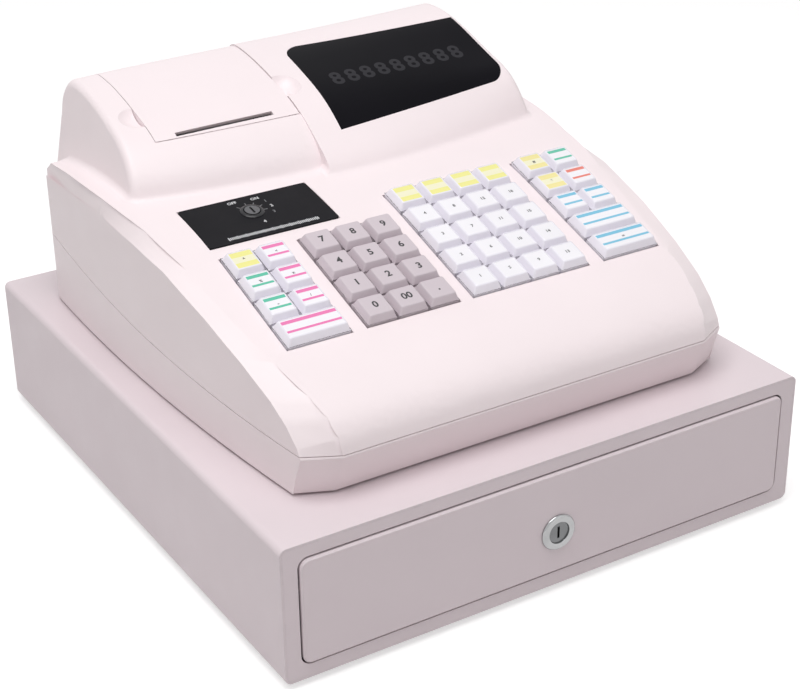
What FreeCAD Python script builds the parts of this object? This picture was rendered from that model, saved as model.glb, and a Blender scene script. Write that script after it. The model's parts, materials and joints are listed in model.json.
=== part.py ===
import FreeCAD, Part
import math
import os
import re
from types import SimpleNamespace

import Sketcher
from FreeCAD import Placement, Rotation, Vector

# A ticket register: a sloping keyboard, printer and display housing that stands on a steel cash drawer.
# X runs to the right, Y from the front to the back and Z up. All lengths are millimetres.
# Shapes are drawn with Y = 0 at the front of the drawer case. Each finished piece is then moved by the
# place called front, so that the origin lies under the middle of the whole register.

doc = FreeCAD.newDocument("TicketRegister")

SIZES = {
    # Drawer case, folded from sheet steel
    "case_width": 330.0,
    "case_depth": 368.0,
    "case_height": 80.0,
    "case_sheet": 1.2,
    "case_edge_radius": 4.0,
    "foot_height": 4.0,
    "foot_top_radius": 9.5,
    "foot_sole_radius": 8.0,
    "foot_inset": 28.0,
    # Front frame welded into the mouth of the case
    "frame_plate": 1.5,
    "frame_return": 12.0,
    "frame_side": 9.5,
    "frame_low": 8.3,
    "frame_high": 8.2,
    "opening_radius": 6.0,
    "strike_half": 15.0,
    "strike_reach": 20.5,
    "strike_drop": 11.0,
    # Drawer panel and drawer box
    "panel_gap": 1.0,
    "panel_proud": 1.4,
    "panel_edge": 1.0,
    "drawer_half": 143.0,
    "drawer_back_room": 26.8,
    "drawer_sheet": 1.0,
    "drawer_low": 13.5,
    "drawer_high": 70.0,
    "tab_half": 8.0,
    "tab_reach": 16.5,
    "tab_low": 24.0,
    "tab_high": 32.0,
    "tab_sheet": 1.5,
    # Runners and their rollers
    "runner_width": 10.5,
    "runner_sheet": 1.2,
    "rail_gap": 1.0,
    "rail_front": 14.0,
    "rail_end_gap": 4.8,
    "rail_floor": 28.0,
    "rail_flange": 8.4,
    "rail_headroom": 1.2,
    "roller_radius": 7.8,
    "roller_width": 8.0,
    "roller_play": 0.3,
    "roller_groove": 0.8,
    "case_roller_place": 28.0,
    "drawer_roller_inset": 10.0,
    "roller_pin_radius": 2.5,
    "roller_pin_head": 4.0,
    "roller_pin_head_length": 0.7,
    "running_clearance": 0.05,
    # Drawer lock
    "lock_height": 38.5,
    "lock_head_radius": 10.6,
    "lock_head_proud": 1.6,
    "lock_barrel_radius": 9.0,
    "lock_barrel_length": 20.4,
    "lock_plug_radius": 6.4,
    "lock_plug_recess": 0.9,
    "lock_fit": 0.3,
    "lock_edge": 0.8,
    "keyway_half": 0.7,
    "keyway_height": 7.0,
    "keyway_depth": 3.0,
    "cam_gap": 0.5,
    "cam_sheet": 2.0,
    "cam_half": 5.0,
    "cam_length": 38.5,
    # Till tray with its note bays and coin cups
    "tray_front": 27.0,
    "tray_fit": 1.5,
    "tray_high": 62.0,
    "tray_wall": 2.2,
    "tray_floor": 2.4,
    "tray_corner_radius": 5.0,
    "coin_cup_length": 50.0,
    "coin_cup_floor": 4.0,
    "clip_rod_radius": 2.0,
    "clip_rod_back": 16.0,
    "clip_rod_drop": 7.0,
    "clip_half": 13.0,
    "clip_sleeve_radius": 4.0,
    "clip_length": 74.0,
    "clip_sheet": 1.6,
    "clip_toe_radius": 1.8,
    "clip_rest_gap": 0.3,
    # Ejector spring and latch behind the drawer
    "spring_place": -60.0,
    "spring_height": 30.0,
    "spring_radius": 7.6,
    "spring_wire": 1.2,
    "spring_turns": 4.0,
    "spring_sides": 8,
    "spring_seat_gap": 0.3,
    "spigot_radius": 4.5,
    "spigot_length": 14.0,
    "latch_pin_gap": 4.4,
    "latch_pin_height": 18.0,
    "latch_pin_radius": 1.6,
    "latch_half": 3.0,
    "latch_boss_radius": 3.2,
    "latch_arm_low": -4.5,
    "latch_arm_high": 2.0,
    "latch_nose_front": 13.4,
    "latch_nose_back": 10.4,
    "latch_nose_high": 4.5,
    "ear_gap": 0.4,
    "ear_sheet": 1.5,
    "coil_left": 9.0,
    "coil_length": 30.0,
    "coil_depth": 20.0,
    "coil_high": 25.0,
    "coil_back_gap": 0.8,
    # Register housing: the plan, the side view and the wall
    "wall": 2.5,
    "base_gap": 1.6,
    "body_front": 31.8,
    "nose_front": 22.6,
    "nose_height": 108.7,
    "body_back": 333.0,
    "back_lean": 2.0,
    "side_half": 147.7,
    "side_widest": 233.0,
    "side_bow_radius": 1512.0,
    "corner_back_radius": 13.0,
    "deck_rise": 96.1,
    "shoulder_turn": 130.0,
    "far_drop_front": 30.0,
    "far_drop_back": 5.0,
    "far_out": 40.0,
    "back_edge": 331.0,
    "key_plane_place": 115.0,
    "key_plane_height": 157.15,
    "key_slope": 17.0,
    "key_plane_front": 72.0,
    "key_plane_back": 148.0,
    "panel_slope": 10.0,
    "seam_gap": 0.5,
    "foot_round": 4.8,
    "hump_round": 5.0,
    "hump_front": 204.0,
    "hump_rise": 72.0,
    "hump_back": 332.6,
    "hump_split": -17.7,
    "hump_foot_half": 137.0,
    "hump_top_half": 121.5,
    "hump_foot": 160.0,
    "hump_top": 245.0,
    "standoff_radius": 6.0,
    "standoff_inset_front": 26.0,
    "standoff_inset_back": 8.7,
    "standoff_front": 58.0,
    "standoff_back": 300.0,
    "standoff_join_front": 112.0,
    "standoff_join_back": 130.0,
    "body_pad_radius": 8.0,
    "body_pad_side": 108.0,
    "body_pad_front": 62.0,
    "body_pad_back": 296.0,
    # Case screws
    "screw_radius": 1.5,
    "screw_head_radius": 3.0,
    "screw_head_height": 2.4,
    "screw_fit": 0.1,
    "screw_length": 22.0,
    "screw_grip": 10.0,
    "screw_edge": 0.8,
    # Keyboard
    "key_pitch": 19.4,
    "key_gap": 0.9,
    "key_skirt": 4.6,
    "key_rim": 1.0,
    "key_rise": 4.5,
    "key_step": 0.4,
    "key_taper": 20.0,
    "key_well_fit": 0.7,
    "stem_half": 3.0,
    "stem_length": 9.0,
    "stem_fit": 0.25,
    "clear_block_left": -116.0,
    "number_block_left": -68.6,
    "department_block_left": -2.4,
    "payment_block_left": 85.2,
    "keys_front": -40.2,
    "guide_drop": 9.6,
    "guide_sheet": 2.0,
    "guide_margin": 5.0,
    "board_drop": 17.5,
    "board_sheet": 1.6,
    "guide_post_half": 2.5,
    # Mode lock panel
    "mode_left": -116.4,
    "mode_width": 80.2,
    "mode_front": 159.6,
    "mode_length": 41.2,
    "mode_sheet": 1.4,
    "mode_height": 171.2,
    "mode_fit": 0.25,
    "mode_corner": 2.0,
    "rotor_across": 38.3,
    "rotor_along": 25.0,
    "rotor_radius": 4.4,
    "rotor_rise": 1.2,
    "rotor_depth": 12.0,
    "rotor_slot_half": 0.6,
    "rotor_slot_depth": 1.5,
    "rotor_slot_reach": 3.2,
    # Printer and its cover
    "cover_left": -109.0,
    "cover_right": -17.7,
    "cover_height": 205.0,
    "cover_gap": 0.4,
    "cover_skirt": 2.0,
    "cover_hinge_place": 325.0,
    "cover_hinge_height": 212.0,
    "cover_pin_radius": 1.8,
    "cover_pin_length": 3.0,
    "cover_relief": 8.8,
    "cover_lobe": 5.0,
    "cheek_width": 5.0,
    "cheek_half": 5.0,
    "notch_radius": 14.0,
    "notch_place": 258.0,
    "notch_height": 223.5,
    "notch_out": 2.0,
    "slot_half": 31.0,
    "slot_middle": -64.4,
    "slot_place": 240.8,
    "slot_height": 207.2,
    "slot_width": 3.0,
    "slot_depth": 9.0,
    "slot_slope": 30.0,
    "roll_radius": 25.0,
    "roll_half": 28.7,
    "roll_core_radius": 6.0,
    "roll_place": 284.0,
    "roll_lift": 22.0,
    "well_gap": 0.8,
    "well_wall": 2.0,
    "well_front": 233.0,
    "well_back": 320.0,
    "well_depth": 30.0,
    "well_rim": 14.0,
    "spindle_reach": 8.0,
    "platen_radius": 6.0,
    "platen_place": 244.0,
    "platen_lift": 8.5,
    "platen_shaft_radius": 2.0,
    "platen_gear_radius": 8.0,
    "platen_gear_width": 4.0,
    "head_half": 25.0,
    "head_front": 234.8,
    "head_depth": 2.8,
    "head_drop": 10.5,
    "head_rise": 7.5,
    # Display
    "window_left_front": 0.8,
    "window_left_back": 4.0,
    "window_inset_front": -2.5,
    "window_inset_back": 0.5,
    "window_front_left": 220.4,
    "window_front_right": 228.5,
    "window_back_left": 299.0,
    "window_back_right": 288.0,
    "window_corner": 11.0,
    "window_sheet": 1.8,
    "window_rim": 0.2,
    "window_ledge": 3.0,
    "window_low": 180.0,
    "module_left": 10.0,
    "module_right": 112.0,
    "module_place": 238.0,
    "module_height": 192.0,
    "module_length": 46.0,
    "module_sheet": 1.6,
    "module_slope": 16.0,
    "post_side": 4.0,
    "tube_height": 7.0,
    "tube_inset": 6.0,
    # Main board and mains inlet
    "main_left": -20.0,
    "main_right": 105.0,
    "main_front": 196.0,
    "main_back": 312.0,
    "main_height": 96.0,
    "main_sheet": 1.6,
    "main_post_radius": 3.5,
    "main_post_inset": 8.0,
    "inlet_place": -114.0,
    "inlet_half": 14.0,
    "inlet_low": 93.5,
    "inlet_high": 113.5,
    "inlet_depth": 22.0,
    "inlet_flange": 2.0,
    "inlet_flange_sheet": 1.5,
    "inlet_fit": 0.3,
    "inlet_well": 14.0,
    "inlet_well_inset": 3.0,
    "inlet_pin_radius": 1.2,
    "inlet_pin_half_pitch": 4.3,
    "inlet_pin_length": 9.0,
    # One overrun for every cut
    "overrun": 5.0,
}

# Places worked out from the sizes
PLACES = {
    "lock_front": "panel_proud + lock_head_proud",
    "front": "-(case_depth - lock_front) / 2",
    "case_half": "case_width / 2",
    "case_top": "foot_height + case_height",
    "case_inner_half": "case_half - case_sheet",
    "case_floor": "foot_height + case_sheet",
    "case_ceiling": "case_top - case_sheet",
    "case_back": "case_depth - case_sheet",
    "drawer_depth": "case_back - drawer_back_room",
    "rail_back": "case_back - rail_end_gap",
    "drawer_roller_place": "drawer_depth - drawer_roller_inset",
    "latch_pin_place": "case_back - latch_pin_gap",
    "opening_half": "case_half - frame_side",
    "opening_low": "foot_height + frame_low",
    "opening_high": "case_top - frame_high",
    "panel_half": "opening_half - panel_gap",
    "panel_low": "opening_low + panel_gap",
    "panel_high": "opening_high - panel_gap",
    "drawer_front": "frame_plate",
    "drawer_floor": "drawer_low + drawer_sheet",
    "runner_half": "drawer_half + runner_width",
    "rail_half": "runner_half + rail_gap",
    "roller_high": "rail_floor + roller_play + roller_radius",
    "runner_low": "roller_high + roller_radius + roller_play",
    "rail_high": "runner_low + runner_sheet + rail_headroom",
    "case_roller_in": "drawer_half + rail_gap + rail_gap + roller_pin_head_length",
    "tray_half": "drawer_half - drawer_sheet - tray_fit",
    "tray_back": "drawer_depth - drawer_sheet - tray_fit",
    "tray_bay": "(2 * tray_half - 5 * tray_wall) / 4",
    "clip_place": "tray_back - clip_rod_back",
    "clip_height": "tray_high - clip_rod_drop",
    "cam_front": "strike_reach + cam_gap",
    "body_low": "case_top + base_gap",
    "body_floor": "body_low + wall",
    "body_depth": "body_back - nose_front",
    "hump_depth": "hump_back - hump_front",
    "roll_height": "hump_foot + roll_lift",
    "well_low": "roll_height - well_depth",
    "well_high": "roll_height + well_rim",
    "platen_height": "roll_height + platen_lift",
    "head_low": "platen_height - head_drop",
    "head_high": "platen_height + head_rise",
    "window_right_front": "hump_top_half - window_inset_front",
    "window_right_back": "hump_top_half - window_inset_back",
}


def bound(formula, home=""):
    """Point each name in a formula at the sheet that holds it."""

    def point(match):
        word = match.group(0)
        if word in SIZES:
            return "Sizes." + word
        if word in PLACES and home != "Places":
            return "Places." + word
        return word

    return re.sub(r"[a-z][a-z_0-9]*", point, formula)


def fill(sheet, table, text):
    """Write one named cell for each entry of a table."""
    for row, (name, value) in enumerate(table.items(), start=1):
        sheet.set(f"A{row}", name)
        sheet.set(f"B{row}", text(value))
        sheet.setAlias(f"B{row}", name)


sizes_sheet = doc.addObject("Spreadsheet::Sheet", "Sizes")
fill(sizes_sheet, SIZES, str)
places_sheet = doc.addObject("Spreadsheet::Sheet", "Places")
fill(places_sheet, PLACES, lambda formula: "=" + bound(formula, home="Places"))
doc.recompute()

size = SimpleNamespace()
for name in SIZES:
    setattr(size, name, float(getattr(sizes_sheet, name)))
for name in PLACES:
    setattr(size, name, float(getattr(places_sheet, name)))

PARTS = []
RIGHT = 1
LEFT = -1
X_AXIS = Vector(1, 0, 0)
Y_AXIS = Vector(0, 1, 0)
Z_AXIS = Vector(0, 0, 1)
QUARTER_TURN = 90.0
TURN_TO = {
    "x": Rotation(Y_AXIS, QUARTER_TURN),
    "y": Rotation(X_AXIS, -QUARTER_TURN),
    "z": Rotation(),
}


def bind(thing, prop, formula):
    """Tie a property of a document object to the sheets."""
    thing.setExpression(prop, bound(formula))


def place(thing, corner):
    """Tie the place of a document object to three formulas."""
    for axis, formula in zip("xyz", corner):
        bind(thing, "Placement.Base." + axis, formula)


def block(name, low, high):
    """A rectangular block between two corners."""
    thing = doc.addObject("Part::Box", name)
    for prop, near, far in zip(("Length", "Width", "Height"), low, high):
        bind(thing, prop, f"({far}) - ({near})")
    place(thing, low)
    return thing


def rod(name, axis, start, radius, length):
    """A round bar along one axis."""
    thing = doc.addObject("Part::Cylinder", name)
    thing.Placement.Rotation = TURN_TO[axis]
    bind(thing, "Radius", radius)
    bind(thing, "Height", length)
    place(thing, start)
    return thing


def join(name, *things):
    """Weld or mould several shapes into one."""
    thing = doc.addObject("Part::MultiFuse", name)
    thing.Shapes = list(things)
    return thing


def group(name, *things):
    """Keep several like solids together as one piece of the list."""
    thing = doc.addObject("Part::Compound", name)
    thing.Links = list(things)
    return thing


def cut(name, base, *tools):
    """Take one or more shapes away from a base."""
    thing = doc.addObject("Part::Cut", name)
    thing.Base = base
    thing.Tool = tools[0] if len(tools) == 1 else group(name + "_tools", *tools)
    return thing


def runs_along(edge, axis):
    """Say whether an edge is straight and parallel to an axis."""
    if edge.Curve.TypeId != "Part::GeomLine":
        return False
    way = edge.Vertexes[-1].Point - edge.Vertexes[0].Point
    return way.cross(axis).Length < edge.Length * size.running_clearance


def rounded(name, base, radius, pick):
    """Round the edges that pick chooses."""
    doc.recompute()
    thing = doc.addObject("Part::Fillet", name)
    thing.Base = base
    thing.Edges = [(n, radius, radius) for n, edge in enumerate(base.Shape.Edges, start=1) if pick(edge)]
    return thing


def keep(thing, label):
    """Name a finished piece and move it to its place in the register."""
    thing.Label = label
    bind(thing, "Placement.Base.y", "front")
    PARTS.append(thing)
    return thing


def keep_shape(label, shape):
    """Keep a piece whose shape is worked out here from the sizes."""
    thing = doc.addObject("Part::Feature", label)
    thing.Shape = Part.makeCompound([shape])
    return keep(thing, label)


def new_body(label):
    """Start a body of its own for a piece made from sketches."""
    return doc.addObject("PartDesign::Body", label)


def new_sketch(body, name, role, offset="0"):
    """Start a sketch on an origin plane of its body, moved off that plane by a formula."""
    sketch = body.newObject("Sketcher::SketchObject", name)
    plane = next(feature for feature in body.Origin.OriginFeatures if feature.Role == role)
    sketch.AttachmentSupport = [(plane, "")]
    sketch.MapMode = "FlatFace"
    if offset != "0":
        bind(sketch, "AttachmentOffset.Base.z", offset)
    return sketch


def draw_outline(sketch, corners):
    """Draw a closed outline whose corners are tied to pairs of formulas."""
    first = sketch.GeometryCount
    count = len(corners)
    spread = size.key_pitch
    around = [2 * math.pi * n / count for n in range(count)]
    points = [Vector(spread * math.cos(turn), spread * math.sin(turn), 0) for turn in around]
    for n in range(count):
        sketch.addGeometry(Part.LineSegment(points[n], points[(n + 1) % count]), False)
    for n in range(count):
        sketch.addConstraint(Sketcher.Constraint("Coincident", first + n, 2, first + (n + 1) % count, 1))
    for n, (across, along) in enumerate(corners):
        for way, formula in (("DistanceX", across), ("DistanceY", along)):
            index = sketch.addConstraint(Sketcher.Constraint(way, -1, 1, first + n, 1, spread))
            sketch.setExpression(f"Constraints[{index}]", bound(formula))


def draw_rectangle(sketch, half_x, half_y):
    """Draw a rectangle about the origin of a sketch."""
    draw_outline(
        sketch,
        [
            (f"-({half_x})", f"-({half_y})"),
            (half_x, f"-({half_y})"),
            (half_x, half_y),
            (f"-({half_x})", half_y),
        ],
    )


def pad(body, sketch, length, back=False, taper="0"):
    """Raise a sketch into a solid."""
    feature = body.newObject("PartDesign::Pad", sketch.Name + "_pad")
    feature.Profile = sketch
    feature.Reversed = back
    bind(feature, "Length", length)
    if taper != "0":
        bind(feature, "TaperAngle", taper)
    sketch.Visibility = False
    return feature


def revolve(body, sketch, axis="V_Axis"):
    """Turn a sketch about one of its own axes."""
    feature = body.newObject("PartDesign::Revolution", sketch.Name + "_turned")
    feature.Profile = sketch
    feature.ReferenceAxis = (sketch, [axis])
    feature.Angle = 4 * QUARTER_TURN
    return feature


def turned(name, outline, start, along="x"):
    """A turned piece: its outline is pairs of radius and distance along its axis."""
    body = new_body(name)
    sketch = new_sketch(body, name + "_outline", "XZ_Plane")
    draw_outline(sketch, outline)
    revolve(body, sketch)
    body.Placement.Rotation = TURN_TO[along]
    place(body, start)
    return body


# Drawer case: folded sheet steel with soft outer bends, open at the front.
# The two roller rails, their pins and the spring's spigot are welded inside it.
case_outer = block("Case_outer", ("-case_half", "0", "foot_height"), ("case_half", "case_depth", "case_top"))


def soft_bend(edge):
    """The long bends of the case's top and back show as soft edges."""
    middle = edge.CenterOfMass
    along_top = runs_along(edge, Y_AXIS)
    at_back = middle.y > size.case_depth - size.case_sheet
    return along_top or at_back


case_bent = rounded("Case_bent", case_outer, size.case_edge_radius, soft_bend)
case_hollow = block(
    "Case_hollow",
    ("-case_inner_half", "-overrun", "case_floor"),
    ("case_inner_half", "case_back", "case_ceiling"),
)
case_hollow_bent = rounded(
    "Case_hollow_bent",
    case_hollow,
    size.case_edge_radius - size.case_sheet,
    lambda edge: runs_along(edge, Y_AXIS) or edge.CenterOfMass.y > size.case_back - size.case_sheet,
)
case_shell = cut("Case_shell", case_bent, case_hollow_bent)


def mirrored_block(name, low, high):
    """The right block and its mirror image on the left."""
    right = block(name + "_right", low, high)
    left = block(name + "_left", (f"-({high[0]})", low[1], low[2]), (f"-({low[0]})", high[1], high[2]))
    return [right, left]


floor_front = "case_roller_place + roller_radius + rail_headroom + rail_headroom"
rail_parts = mirrored_block(
    "Rail_web",
    ("rail_half", "rail_front", "case_floor - case_sheet / 2"),
    ("rail_half + runner_sheet", "rail_back", "rail_high + runner_sheet"),
)
rail_parts += mirrored_block(
    "Rail_floor",
    ("rail_half - rail_flange", floor_front, "rail_floor - runner_sheet"),
    ("rail_half + runner_sheet / 2", "rail_back", "rail_floor"),
)
rail_parts += mirrored_block(
    "Rail_roof",
    ("rail_half - rail_flange", "rail_front", "rail_high"),
    ("rail_half + runner_sheet / 2", "rail_back", "rail_high + runner_sheet"),
)
rail_parts += mirrored_block(
    "Rail_foot",
    ("rail_half", "rail_front", "case_floor - case_sheet / 2"),
    ("case_inner_half - case_edge_radius", "rail_back", "case_floor + runner_sheet"),
)


def roller_pins(name, base, reach, place_along):
    """A riveted pin with a head on each side, running out from base by reach."""
    pins = []
    for side, sign in (("right", ""), ("left", "-")):
        shaft_start = f"{sign}({base})" if sign == "" else f"-({base}) - ({reach})"
        start = (shaft_start, place_along, "roller_high")
        pins.append(rod(f"{name}_{side}", "x", start, "roller_pin_radius", reach))
    return pins


case_pins = roller_pins(
    "Case_roller_pin",
    "case_roller_in - roller_pin_head_length",
    "rail_half + runner_sheet / 2 - case_roller_in + roller_pin_head_length",
    "case_roller_place",
)
case_pin_heads = [
    rod(
        "Case_pin_head_right",
        "x",
        ("case_roller_in - roller_pin_head_length", "case_roller_place", "roller_high"),
        "roller_pin_head",
        "roller_pin_head_length",
    ),
    rod(
        "Case_pin_head_left",
        "x",
        ("-case_roller_in", "case_roller_place", "roller_high"),
        "roller_pin_head",
        "roller_pin_head_length",
    ),
]
spigot = rod(
    "Spring_spigot",
    "y",
    ("spring_place", "case_back - spigot_length", "spring_height"),
    "spigot_radius",
    "spigot_length + case_sheet / 2",
)
keep(join("Drawer_case", case_shell, *rail_parts, *case_pins, *case_pin_heads, spigot), "drawer_case")

# Front frame: a flanged steel plate with the drawer's opening, and the strike that the lock's cam meets.
frame_outer = block(
    "Frame_outer",
    ("-case_inner_half", "0", "case_floor"),
    ("case_inner_half", "frame_return", "case_ceiling"),
)
frame_bent = rounded(
    "Frame_bent",
    frame_outer,
    size.case_edge_radius - size.case_sheet,
    lambda edge: runs_along(edge, Y_AXIS),
)
frame_hollow = block(
    "Frame_hollow",
    ("-case_inner_half + runner_sheet", "frame_plate", "case_floor + runner_sheet"),
    ("case_inner_half - runner_sheet", "frame_return + overrun", "case_ceiling - runner_sheet"),
)
frame_opening = block(
    "Frame_opening",
    ("-opening_half", "-overrun", "opening_low"),
    ("opening_half", "frame_return", "opening_high"),
)
frame_opening_round = rounded(
    "Frame_opening_round",
    frame_opening,
    size.opening_radius,
    lambda edge: runs_along(edge, Y_AXIS),
)
frame_ring = cut("Frame_ring", frame_bent, frame_hollow, frame_opening_round)
strike_arm = block(
    "Strike_arm",
    ("-strike_half", "frame_return - runner_sheet", "case_ceiling - runner_sheet"),
    ("strike_half", "strike_reach", "case_ceiling"),
)
strike_lip = block(
    "Strike_lip",
    ("-strike_half", "strike_reach - frame_plate", "case_ceiling - strike_drop"),
    ("strike_half", "strike_reach", "case_ceiling"),
)
keep(join("Drawer_front_frame", frame_ring, strike_arm, strike_lip), "drawer_front_frame")

# Rubber feet: four tapered pads pressed to the underside of the case.
feet = []
for across, x in (("left", "-case_half + foot_inset"), ("right", "case_half - foot_inset")):
    for along, y in (("front", "foot_inset"), ("back", "case_depth - foot_inset")):
        foot = doc.addObject("Part::Cone", f"Foot_{across}_{along}")
        bind(foot, "Radius1", "foot_sole_radius")
        bind(foot, "Radius2", "foot_top_radius")
        bind(foot, "Height", "foot_height")
        place(foot, (x, y, "0"))
        feet.append(foot)
keep(group("Rubber_feet", *feet), "rubber_feet")


def rollers(label, inner, place_along):
    """Two nylon rollers with a shallow tread groove, one on each pin."""
    pair = []
    for side, start in (("right", inner), ("left", f"-({inner}) - roller_width")):
        bore = "roller_pin_radius + running_clearance"
        rim = "roller_radius"
        outline = [
            (bore, "0"),
            (f"{rim} - roller_groove", "0"),
            (rim, "roller_groove"),
            (rim, "roller_width - roller_groove"),
            (f"{rim} - roller_groove", "roller_width"),
            (bore, "roller_width"),
        ]
        pair.append(turned(f"{label}_{side}", outline, (start, place_along, "roller_high")))
    return keep(group(label.title(), *pair), label)


# Case rollers: they turn on the rail pins and carry the drawer's runners at the front.
rollers("case_rollers", "case_roller_in + running_clearance", "case_roller_place")

# Drawer rollers: they turn on pins at the back of the drawer, inside the rails.
rollers("drawer_rollers", "drawer_half + running_clearance", "drawer_roller_place")

# Drawer box: an open steel tray with a runner along each side and a latch tab at the back.
box_outer = block(
    "Box_outer",
    ("-drawer_half", "drawer_front", "drawer_low"),
    ("drawer_half", "drawer_depth", "drawer_high"),
)
box_hollow = block(
    "Box_hollow",
    ("-drawer_half + drawer_sheet", "drawer_front + drawer_sheet", "drawer_floor"),
    ("drawer_half - drawer_sheet", "drawer_depth - drawer_sheet", "drawer_high + overrun"),
)
lock_hole = rod(
    "Lock_hole",
    "y",
    ("0", "-overrun", "lock_height"),
    "lock_barrel_radius + lock_fit",
    "2 * overrun + frame_plate",
)
box_shell = cut("Box_shell", box_outer, box_hollow, lock_hole)
runners = mirrored_block(
    "Runner",
    ("drawer_half - drawer_sheet / 2", "frame_plate + frame_return", "runner_low"),
    ("runner_half", "drawer_depth", "runner_low + runner_sheet"),
)
drawer_pins = roller_pins(
    "Drawer_roller_pin",
    "drawer_half - drawer_sheet / 2",
    "drawer_sheet / 2 + 2 * running_clearance + roller_width + roller_pin_head_length",
    "drawer_roller_place",
)
head_start = "drawer_half + 2 * running_clearance + roller_width"
drawer_pin_heads = [
    rod(
        "Drawer_pin_head_right",
        "x",
        (head_start, "drawer_roller_place", "roller_high"),
        "roller_pin_head",
        "roller_pin_head_length",
    ),
    rod(
        "Drawer_pin_head_left",
        "x",
        (f"-({head_start}) - roller_pin_head_length", "drawer_roller_place", "roller_high"),
        "roller_pin_head",
        "roller_pin_head_length",
    ),
]
tab_plate = block(
    "Latch_tab",
    ("-tab_half", "drawer_depth - drawer_sheet / 2", "tab_high - tab_sheet"),
    ("tab_half", "drawer_depth + tab_reach", "tab_high"),
)
tab_lip = block(
    "Latch_tab_lip",
    ("-tab_half", "drawer_depth + tab_reach - tab_sheet", "tab_low"),
    ("tab_half", "drawer_depth + tab_reach", "tab_high"),
)
drawer_parts = [box_shell, *runners, *drawer_pins, *drawer_pin_heads, tab_plate, tab_lip]
keep(join("Drawer_box", *drawer_parts), "drawer_box")

# Drawer front panel: a bevelled steel front with rounded corners, spot-welded to the drawer box.
panel_blank = block(
    "Panel_blank",
    ("-panel_half", "-panel_proud", "panel_low"),
    ("panel_half", "drawer_front", "panel_high"),
)
panel_round = rounded(
    "Panel_round",
    panel_blank,
    size.opening_radius - size.panel_gap,
    lambda edge: runs_along(edge, Y_AXIS),
)
doc.recompute()
panel_bevel = doc.addObject("Part::Chamfer", "Panel_bevel")
panel_bevel.Base = panel_round
panel_bevel.Edges = [
    (n, size.panel_edge, size.panel_edge)
    for n, edge in enumerate(panel_round.Shape.Edges, start=1)
    if edge.BoundBox.YMax < -size.panel_proud / 2
]
panel_lock_hole = rod(
    "Panel_lock_hole",
    "y",
    ("0", "-overrun", "lock_height"),
    "lock_barrel_radius + lock_fit",
    "2 * overrun + frame_plate",
)
keep(cut("Drawer_front_panel", panel_bevel, panel_lock_hole), "drawer_front_panel")

# Lock barrel: a turned, chromed body held in the panel, with its mouth recessed.
barrel_bore = "lock_plug_radius + running_clearance"
barrel_outline = [
    (barrel_bore, "-lock_front"),
    ("lock_head_radius - lock_edge", "-lock_front"),
    ("lock_head_radius", "-lock_front + lock_edge"),
    ("lock_head_radius", "-panel_proud"),
    ("lock_barrel_radius", "-panel_proud"),
    ("lock_barrel_radius", "-panel_proud + lock_barrel_length"),
    (barrel_bore, "-panel_proud + lock_barrel_length"),
]
barrel = turned("Lock_barrel", barrel_outline, ("0", "0", "lock_height"), along="y")
keep(group("Lock_barrel_set", barrel), "drawer_lock_barrel")

# Lock plug: the turning core with its keyway, and the cam plate riveted to its inner end.
plug_start = "-lock_front + lock_plug_recess"
plug_core = rod(
    "Plug_core",
    "y",
    ("0", plug_start, "lock_height"),
    "lock_plug_radius",
    f"cam_front + cam_sheet - ({plug_start})",
)
keyway = block(
    "Keyway",
    ("-keyway_half", f"{plug_start} - overrun", "lock_height - keyway_height / 2"),
    ("keyway_half", f"{plug_start} + keyway_depth", "lock_height + keyway_height / 2"),
)
cam_plate = block(
    "Cam_plate",
    ("-cam_length", "cam_front", "lock_height - cam_half"),
    ("0", "cam_front + cam_sheet", "lock_height + cam_half"),
)
keep(cut("Lock_plug", join("Plug_blank", plug_core, cam_plate), keyway), "drawer_lock_plug")

# Till tray: one plastic moulding with four note bays behind two rows of scooped coin cups.
tray_blank = block(
    "Tray_blank",
    ("-tray_half", "tray_front", "drawer_floor"),
    ("tray_half", "tray_back", "tray_high"),
)
tray_round = rounded("Tray_round", tray_blank, size.tray_corner_radius, lambda edge: runs_along(edge, Z_AXIS))
BAYS = 4
CUP_ROWS = 2
tray_cuts = []
bay_front = f"tray_front + {CUP_ROWS} * (coin_cup_length + tray_wall) + tray_wall"
for bay in range(BAYS):
    left = f"-tray_half + tray_wall + {bay} * (tray_bay + tray_wall)"
    right = f"{left} + tray_bay"
    note_bay = block(
        f"Note_bay_{bay}",
        (left, bay_front, "drawer_floor + tray_floor"),
        (right, "tray_back - tray_wall", "tray_high + overrun"),
    )
    tray_cuts.append(note_bay)
    for row in range(CUP_ROWS):
        cup_front = f"tray_front + tray_wall + {row} * (coin_cup_length + tray_wall)"
        scoop_high = "drawer_floor + coin_cup_floor + coin_cup_length / 2"
        tray_cuts.append(
            block(
                f"Coin_cup_{bay}_{row}",
                (left, cup_front, scoop_high),
                (right, f"{cup_front} + coin_cup_length", "tray_high + overrun"),
            )
        )
        tray_cuts.append(
            rod(
                f"Coin_scoop_{bay}_{row}",
                "x",
                (left, f"{cup_front} + coin_cup_length / 2", scoop_high),
                "coin_cup_length / 2",
                "tray_bay",
            )
        )
rod_hole = rod(
    "Rod_hole",
    "x",
    ("-tray_half - overrun", "clip_place", "clip_height"),
    "clip_rod_radius + running_clearance",
    "2 * tray_half + 2 * overrun",
)
keep(cut("Till_tray", tray_round, *tray_cuts, rod_hole), "till_tray")

# Clip rod: one steel wire through the tray's ribs, on which the note clips swing.
keep(
    group(
        "Clip_rod_set",
        rod(
            "Clip_rod",
            "x",
            ("-tray_half + tray_wall / 2", "clip_place", "clip_height"),
            "clip_rod_radius",
            "2 * tray_half - tray_wall",
        ),
    ),
    "clip_rod",
)


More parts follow.
